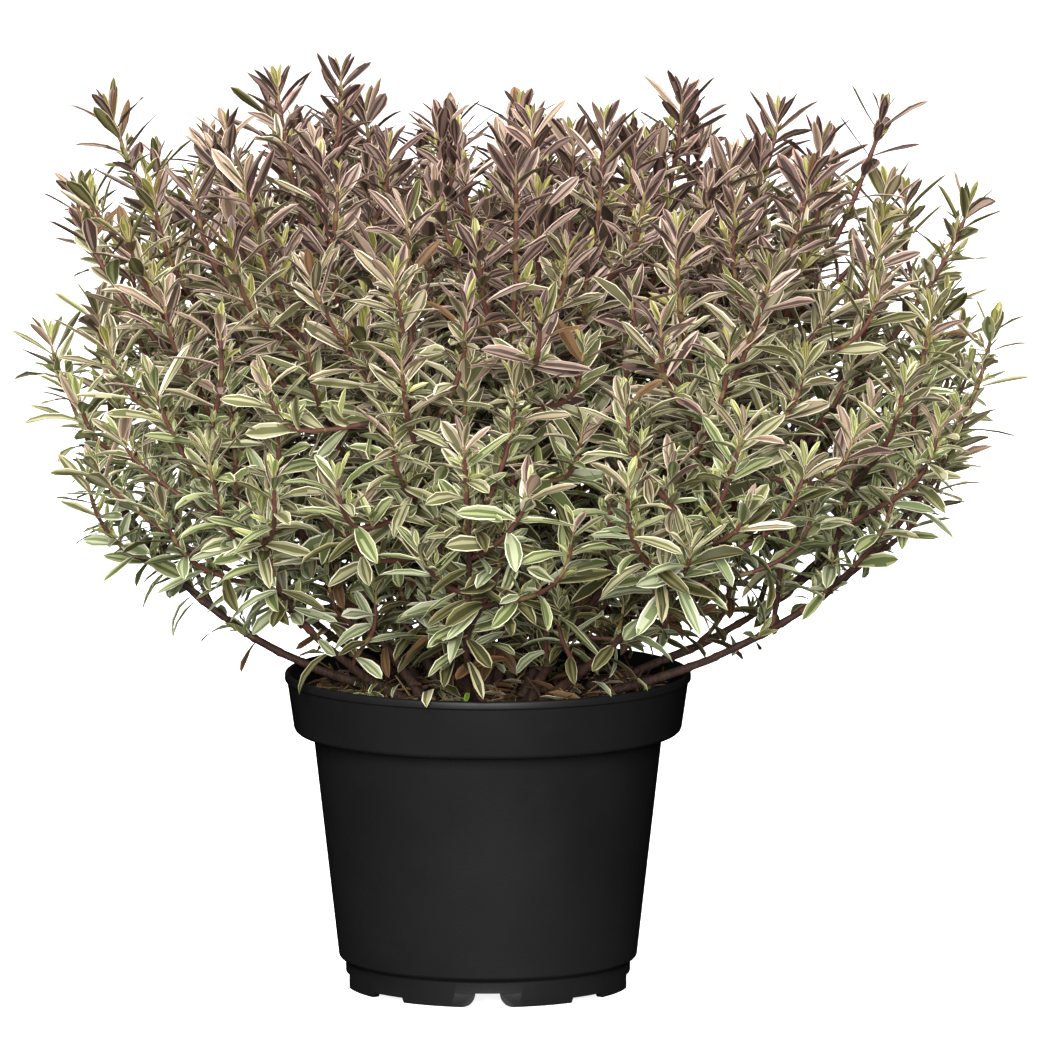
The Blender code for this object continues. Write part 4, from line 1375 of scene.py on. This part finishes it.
def dress_shoot(shoot, low_ring, dice, leaves, tufts, stalks):
    """Leaf pairs from the tip down, each a quarter turned, and tufts in their axils."""
    course = shoot.course
    tip_share = height_share(course.points[-1].z)
    gap_limit = between(*GAPS, tip_share) * dice.uniform(*GAP_SPREAD)
    full = between(*LENGTHS, tip_share) * dice.uniform(*LENGTH_SPREAD)
    full *= ORDER_SIZES[shoot.order]
    tuft_chance = FINE_TUFT_CHANCE if shoot.order >= INNER_ORDER else TUFT_CHANCE
    roll = dice.uniform(0.0, 180.0)
    drift = dice.gauss(0.0, DRIFT)
    bare = TIP_BARE
    if shoot.order == 0:
        bare = shoot.woody * (LOW_BARE if low_ring else HIGH_BARE)
    for number, distance in enumerate(node_distances(course.length - bare, gap_limit)):
        place, way, across = course.at(distance)
        share = height_share(place.z)
        grown = min((distance + GROWTH_START) / GROWTH_LENGTH, 1.0) ** GROWTH_POWER
        length = full * between(BUD_SIZE, 1.0, grown)
        open_angle = between(*OPEN_ANGLES, share) + min(distance * OPENING_RATE, MOST_OPENING)
        tilt = between(BUD_ANGLE, open_angle, 1.0 - math.exp(-distance / OPENING_LENGTH))
        droop = between(*DROOPS, share) * min(distance / DROOP_LENGTH, 1.0) * dice.uniform(*DROOP_SPREAD)
        if number % DRIFT_NODES == 0:
            drift = dice.gauss(0.0, DRIFT)
        old = distance > OLD_LEAF
        for outward, along, upward in pair_ways(way, across, roll, tilt, droop, dice):
            hanging = outward.z < HANGING and distance > HANGING_FROM
            if dice.random() > LOST_CHANCE * (old + hanging):
                size = length * dice.uniform(*SIZE_SPREAD) * (OLD_SIZE if old else 1.0)
                wide = between(*WIDTHS, share) * dice.uniform(*WIDTH_SPREAD)
                fold = between(dice.uniform(*LOW_FOLDS), dice.uniform(*TOP_FOLDS), share)
                bend = between(dice.uniform(*LOW_BENDS), dice.uniform(*TOP_BENDS), share)
                bend *= between(FIRST_BEND, 1.0, grown)
                twist = dice.gauss(0.0, between(*TWISTS, share))
                tint = leaf_tint(place, distance, drift, dice)
                add_leaf(leaves, Leaf(
                    place + outward * (twig_radius(distance) * LEAF_SEAT), along, upward,
                    size, size * wide, math.radians(fold), bend, twist, margin_share(dice), tint,
                ))
            chance = tuft_chance if distance < OLD_TWIG else OLD_TUFT_CHANCE
            if distance > TUFT_FROM and not hanging and dice.random() < chance:
                size = dice.uniform(*TUFT_SIZES) * min(distance / TUFT_GROWTH, 1.0)
                grow_tuft(place, way, outward, size, dice, tufts, stalks)
        roll += 90.0 + either_way(dice, NODE_TURN_SPREAD)


def leaf_pile(leaves, stations, halves, crossings, streaks, rng):
    """All of one kind of leaf, each with its own streaks of its spray's tint."""
    rows = len(stations)
    tints = np.array([leaf.tint for leaf in leaves])
    pattern = np.array(streaks)[rng.integers(0, len(streaks), len(leaves))]
    parts = np.tile(pattern, (1, rows))
    turned_over = (rng.random(parts.shape) < TURNED_OVER) & (parts != MARGIN)
    parts = np.where(turned_over, PALE - parts, parts)
    points = leaf_points(leaves, stations, halves, crossings, rng)
    pile = Pile()
    slots = tints[:, None] * len(ROUGHNESSES) + parts
    pile.add_copies(points, leaf_form(rows, len(streaks[0])), slots)
    return pile


def small_leaf_pile(leaves, rng, stations=TUFT_STATIONS, halves=TUFT_HALVES):
    return leaf_pile(leaves, stations, halves, TUFT_CROSSINGS, TUFT_STREAKS, rng)


# Twigs and stems


def twig_radius(distance):
    """A twig's radius at a distance back from its tip."""
    growth = TWIG_TIP_GROWTH * min(distance / TWIG_TIP_LENGTH, 1.0)
    return min(TWIG_TIP_RADIUS + growth + TWIG_TAPER * distance, STEM_TOP_RADIUS)


def twig_colour(z, distance, dice):
    if distance < GREEN_LENGTH:
        return GREEN_TWIG
    if z > MAROON_ABOVE_Z or distance < MAROON_LENGTH:
        return MAROON_TWIG if dice.random() > OLIVE_CHANCE else OLIVE_TWIG
    return BROWN_TWIG if dice.random() > OLD_MAROON_CHANCE else MAROON_TWIG


def add_tube(pile, rows, radii, sides, slots):
    """A closed tube through rows of place, direction and crosswise direction."""
    angles = math.tau * np.arange(sides) / sides
    points = []
    for (place, way, across), radius in zip(rows, radii):
        other = np.cross(way, across)
        ring = np.cos(angles)[:, None] * np.array(across) + np.sin(angles)[:, None] * other
        points.append(np.array(place) + radius * ring)
    rings = np.arange(len(rows) * sides).reshape(len(rows), sides)
    after = np.roll(rings, -1, axis=1)
    walls = np.stack([rings[:-1], after[:-1], after[1:], rings[1:]], axis=2)
    corners = np.concatenate([walls.ravel(), rings[0][::-1], rings[-1]])
    sizes = np.array([4] * (sides * (len(rows) - 1)) + [sides, sides])
    faces = np.append(np.repeat(slots[:-1], sides), [slots[0], slots[-1]])
    pile.add(np.concatenate(points), corners, sizes, faces)


def add_twig(pile, shoot, dice):
    """A shoot's twig with a swelling at each node."""
    course = shoot.course
    last = course.length - shoot.woody
    rows = [(last, 1.0)]
    gap_limit = between(*GAPS, height_share(course.points[-1].z))
    nodes = list(node_distances(last - ROW_GAP, gap_limit))
    for distance in reversed(nodes):
        if distance > SWELL_FROM and last - distance > ROW_GAP:
            rows += [((last + distance) / 2.0, 1.0), (distance + SWELL_LENGTH, 1.0), (distance, NODE_SWELL)]
            last = distance
    rows += TWIG_TIP_ROWS
    # One draw is passed over, so that the ones after it stay in their places.
    dice.random()
    places = [course.at(distance) for distance, _ in rows]
    radii = [twig_radius(distance) * swell for distance, swell in rows]
    slots = [twig_colour(place[0].z, distance, dice) for place, (distance, _) in zip(places, rows)]
    add_tube(pile, places, radii, TWIG_SIDES, slots)


def add_stalks(pile, stalks):
    for place, tip, radius in stalks:
        way = (tip - place).normalized()
        across = way.orthogonal().normalized()
        rows = [(place, way, across), (tip, way, across)]
        add_tube(pile, rows, [radius, radius * STALK_TAPER], STALK_SIDES, [GREEN_TWIG, GREEN_TWIG])


def hump(form, share):
    return form.height * math.exp(-((share - form.place) / form.width) ** 2)


def stem_relief(around, along, seed):
    """How much a stem's surface stands out: ridges, node rings and cracks."""
    node, share = divmod(along, GAPS[0])
    quarter = math.pi / 2.0 * node
    ridge = RIDGE * math.cos(2.0 * around + quarter)
    scar = hump(LEAF_SCAR, share) * max(0.0, math.cos(around + quarter)) ** SCAR_POWER
    level, height = (math.cos(around) * CRACK_WIDTH, math.sin(around) * CRACK_WIDTH), along / CRACK_LENGTH
    return 1.0 + ridge + hump(NODE_RING, share) - scar + CRACKS * noise.noise(Vector((*level, height + seed)))


def draw_stem(shape, shoot, seed):
    """A stem from a grid rolled into a tube, its rings in their places with the bark's relief."""
    count = max(round(shoot.woody / STEM_RING_GAP), 4)
    made = bmesh.ops.create_grid(shape, x_segments=STEM_SIDES, y_segments=count, size=0.5)["verts"]
    rows = {}
    for corner in made:
        rows.setdefault(round((corner.co.y + 0.5) * count), []).append(corner)
    course = shoot.course
    seam = []
    for step, corners in rows.items():
        along = shoot.woody * step / count
        place, way, across = course.at(course.length - along)
        other = way.cross(across)
        radius = between(STEM_BASE_RADIUS, STEM_TOP_RADIUS, step / count)
        radius *= 1.0 + STEM_FLARE * math.exp(-along / STEM_FLARE_LENGTH)
        if step == 0:
            place = place - UP * STEM_SINK
        for corner in corners:
            around = math.tau * (corner.co.x + 0.5)
            swell = radius * stem_relief(around, along, seed)
            corner.co = place + (across * math.cos(around) + other * math.sin(around)) * swell
            seam.append(corner)
    bmesh.ops.remove_doubles(shape, verts=seam, dist=STEM_WELD)
    open_edges = [edge for edge in shape.edges if edge.is_boundary]
    bmesh.ops.holes_fill(shape, edges=open_edges, sides=0)


def make_stems(ring, shoots):
    shape = bmesh.new()
    for number, shoot in enumerate(shoots):
        draw_stem(shape, shoot, number * STEM_SEED_STEP)
    bmesh.ops.recalc_face_normals(shape, faces=shape.faces)
    return finish_mesh(shape, f"stems_{ring.name}", STEM_SHARP)


# The plant


def leaf_finishes():
    """Three finishes for each tint, in the order of DEEP, PALE and MARGIN."""
    finishes = []
    for tint in TINTS:
        for part, roughness in zip(("deep", "pale", "margin"), ROUGHNESSES):
            finishes.append(plain_finish(f"leaf_{tint.name}_{part}", getattr(tint, part), roughness))
    return finishes


def make_plant(leaf_paints, twig_paints):
    limbs = plan_limbs()
    space = Space(limbs)
    shoots = grow_main_shoots(limbs, space)
    for fill in FILLS:
        shoots += grow_fill_shoots(shoots, space, fill)
    bark_finish = bark()
    for ring in RINGS:
        own = [shoot for shoot in shoots if limbs[shoot.limb].ring is ring]
        names = [limb.name for limb in limbs if limb.ring is ring]
        masses = [f"foliage_{name}" for name in names]
        leaves, inner, tufts, stalks = [], [], [], []
        twigs = Pile()
        dice = random.Random(f"{SEED} leaves {ring.name}")
        for shoot in own:
            kind = inner if shoot.order == INNER_ORDER else leaves
            dress_shoot(shoot, ring is RINGS[0], dice, kind, tufts, stalks)
            add_twig(twigs, shoot, dice)
        add_stalks(twigs, stalks)
        rng = np.random.default_rng([SEED, len(leaves)])
        for name, pile in (
            ("leaves", leaf_pile(leaves, LEAF_STATIONS, LEAF_HALVES, LEAF_CROSSINGS, LEAF_STREAKS, rng)),
            ("inner_leaves", small_leaf_pile(inner, rng, INNER_STATIONS, INNER_HALVES)),
            ("tufts", small_leaf_pile(tufts, rng)),
        ):
            show_pile(f"{name}_{ring.name}", pile, LEAF_SHARP, leaf_paints, masses)
        show_pile(f"twigs_{ring.name}", twigs, TWIG_SHARP, twig_paints, masses)
        stems = make_stems(ring, [shoot for shoot in own if shoot.order == 0])
        show(f"stems_{ring.name}", stems, [bark_finish], [f"stem_{name}" for name in names])


def flat_leaf(root, azimuth, rise, length, tint, dice, bend=FLAT_BEND):
    """A leaf that lies out level from its root, in one of the tints."""
    along = direction(azimuth, rise)
    facing = UP + direction(dice.uniform(0.0, 360.0), 0.0) * FLAT_FACING
    return Leaf(
        root, along, upper_side(along, facing), length, length * dice.uniform(*FLAT_WIDTHS),
        math.radians(dice.uniform(*FLAT_FOLDS)), bend, either_way(dice, FLAT_TWIST),
        dice.uniform(*FLAT_MARGINS), tint,
    )


def compost_spot(dice):
    """A place anywhere on the compost."""
    radius = LITTER_SPREAD * math.sqrt(dice.random())
    spot = direction(dice.uniform(0.0, 360.0), 0.0) * radius
    spot.z = compost_height(spot.x, spot.y)
    return spot


def litter_leaves(dice):
    """Fallen leaves, seedling weeds and dropped leaves on the rim."""
    leaves = []
    for _ in range(LITTER_LEAVES):
        root = compost_spot(dice)
        root.z += dice.uniform(*LITTER_RISES)
        tint = dice.choices(*LITTER_TINTS)[0]
        way = dice.uniform(0.0, 360.0)
        rise, length = dice.uniform(*LITTER_ANGLES), dice.uniform(*LITTER_LENGTHS)
        leaf = flat_leaf(root, way, rise, length, tint, dice)
        if math.hypot(leaf_tip(leaf).x, leaf_tip(leaf).y) < LITTER_LIMIT:
            leaves.append(leaf)
    for azimuth, radius, pairs in WEEDS:
        foot = direction(azimuth, 0.0) * radius
        foot.z = compost_height(foot.x, foot.y)
        for number in range(pairs * 2):
            level = number // 2
            root = foot + UP * (WEED_FOOT + WEED_STEP * level)
            root += direction(number * WEED_TURN, 0.0) * WEED_WIDTH
            way = number * 180.0 + 90.0 * level + azimuth
            rise, length = dice.uniform(*WEED_ANGLES), dice.uniform(*WEED_LENGTHS)
            leaves.append(flat_leaf(root, way, rise, length, WEED, dice))
    for azimuth, height, length, tint in RIM_LEAVES:
        root = direction(azimuth, 0.0) * RIM_LEAF_RADIUS + UP * height
        leaves.append(flat_leaf(root, azimuth, RIM_LEAF_ANGLE, length, tint, dice, RIM_LEAF_BEND))
    return leaves


def dead_stalks(dice):
    """Dead stalks and fibres on the compost."""
    stalks = Pile()
    for _ in range(LITTER_FIBRES):
        foot = compost_spot(dice) + UP * FIBRE_RISE
        way = direction(dice.uniform(0.0, 360.0), dice.uniform(*FIBRE_ANGLES))
        length = dice.uniform(*FIBRE_LENGTHS)
        bend = foot + way * length * 0.5 + UP * dice.uniform(*FIBRE_BENDS)
        end = bend + (way + direction(dice.uniform(0.0, 360.0), 0.0) * 0.5).normalized() * length * 0.5
        if math.hypot(end.x, end.y) < LITTER_LIMIT and end.z > foot.z:
            places = (foot, bend, end)
            rows = [(spot, *frame) for spot, frame in zip(places, frames_along(places))]
            size = dice.uniform(*FIBRE_RADII)
            colours = dice.choices(*FIBRE_COLOURS) * len(rows)
            add_tube(stalks, rows, [size * taper for taper in FIBRE_TAPERS], STALK_SIDES, colours)
    return stalks


def make_litter(leaf_paints, twig_paints):
    dice = random.Random(f"{SEED} litter")
    leaves = small_leaf_pile(litter_leaves(dice), np.random.default_rng(SEED))
    show_pile("litter", leaves, LEAF_SHARP, leaf_paints, ["root_ball"])
    show_pile("dead_stalks", dead_stalks(dice), TWIG_SHARP, twig_paints, ["root_ball"])


# The studio


def make_camera():
    angle = math.radians(CAMERA_ELEVATION)
    look = Vector((0.0, math.cos(angle), -math.sin(angle)))
    rise = Vector((0.0, math.sin(angle), math.cos(angle)))
    camera = bpy.data.cameras.new("camera")
    camera.sensor_width = CAMERA_SENSOR
    camera.lens = CAMERA_SENSOR * CAMERA_DISTANCE / FRAME_WIDTH
    camera.clip_end = CAMERA_FURTHEST
    holder = add_object("camera", camera)
    holder.location = POT_PLACE + Vector((FRAME_RIGHT, 0.0, 0.0)) + rise * FRAME_UP - look * CAMERA_DISTANCE
    holder.rotation_euler = (math.radians(90.0 - CAMERA_ELEVATION), 0.0, 0.0)
    bpy.context.scene.camera = holder


def add_light(light):
    lamp = bpy.data.lights.new(light.name, "AREA")
    lamp.shape = "RECTANGLE"
    lamp.size = light.width
    lamp.size_y = light.height
    lamp.energy = light.power
    holder = add_object(light.name, lamp)
    holder.location = light.place
    holder.rotation_euler = (LIGHT_AIM - Vector(light.place)).to_track_quat("-Z", "Y").to_euler()
    holder.visible_camera = False
    holder.visible_glossy = light.glossy


def make_studio():
    shape = bmesh.new()
    bmesh.ops.create_circle(shape, cap_ends=True, radius=FLOOR_RADIUS, segments=FLOOR_SIDES)
    floor = add_object("floor", as_mesh(shape, "floor"))
    floor.data.materials.append(Finish("pale_floor").set(
        base_color=(0.8, 0.8, 0.8, 1.0), roughness=0.9,
        emission_color=WHITE, emission_strength=FLOOR_GLOW,
    ))
    floor.visible_diffuse = False
    floor.visible_glossy = False
    world = bpy.data.worlds.new("soft_white")
    world.use_nodes = True
    background = world.node_tree.nodes["Background"].inputs
    background["Color"].default_value = WHITE
    background["Strength"].default_value = WORLD_STRENGTH
    world.cycles_visibility.glossy = False
    bpy.context.scene.world = world
    for light in LIGHTS:
        add_light(light)
    bpy.context.scene.view_settings.view_transform = "Standard"


make_camera()
make_studio()
make_pot()
make_compost()
make_crumbs()
leaf_paints = leaf_finishes()
twig_paints = [plain_finish(name, colour, TWIG_ROUGHNESS) for name, colour in LIMB_COLOURS]
make_plant(leaf_paints, twig_paints)
make_litter(leaf_paints, twig_paints)
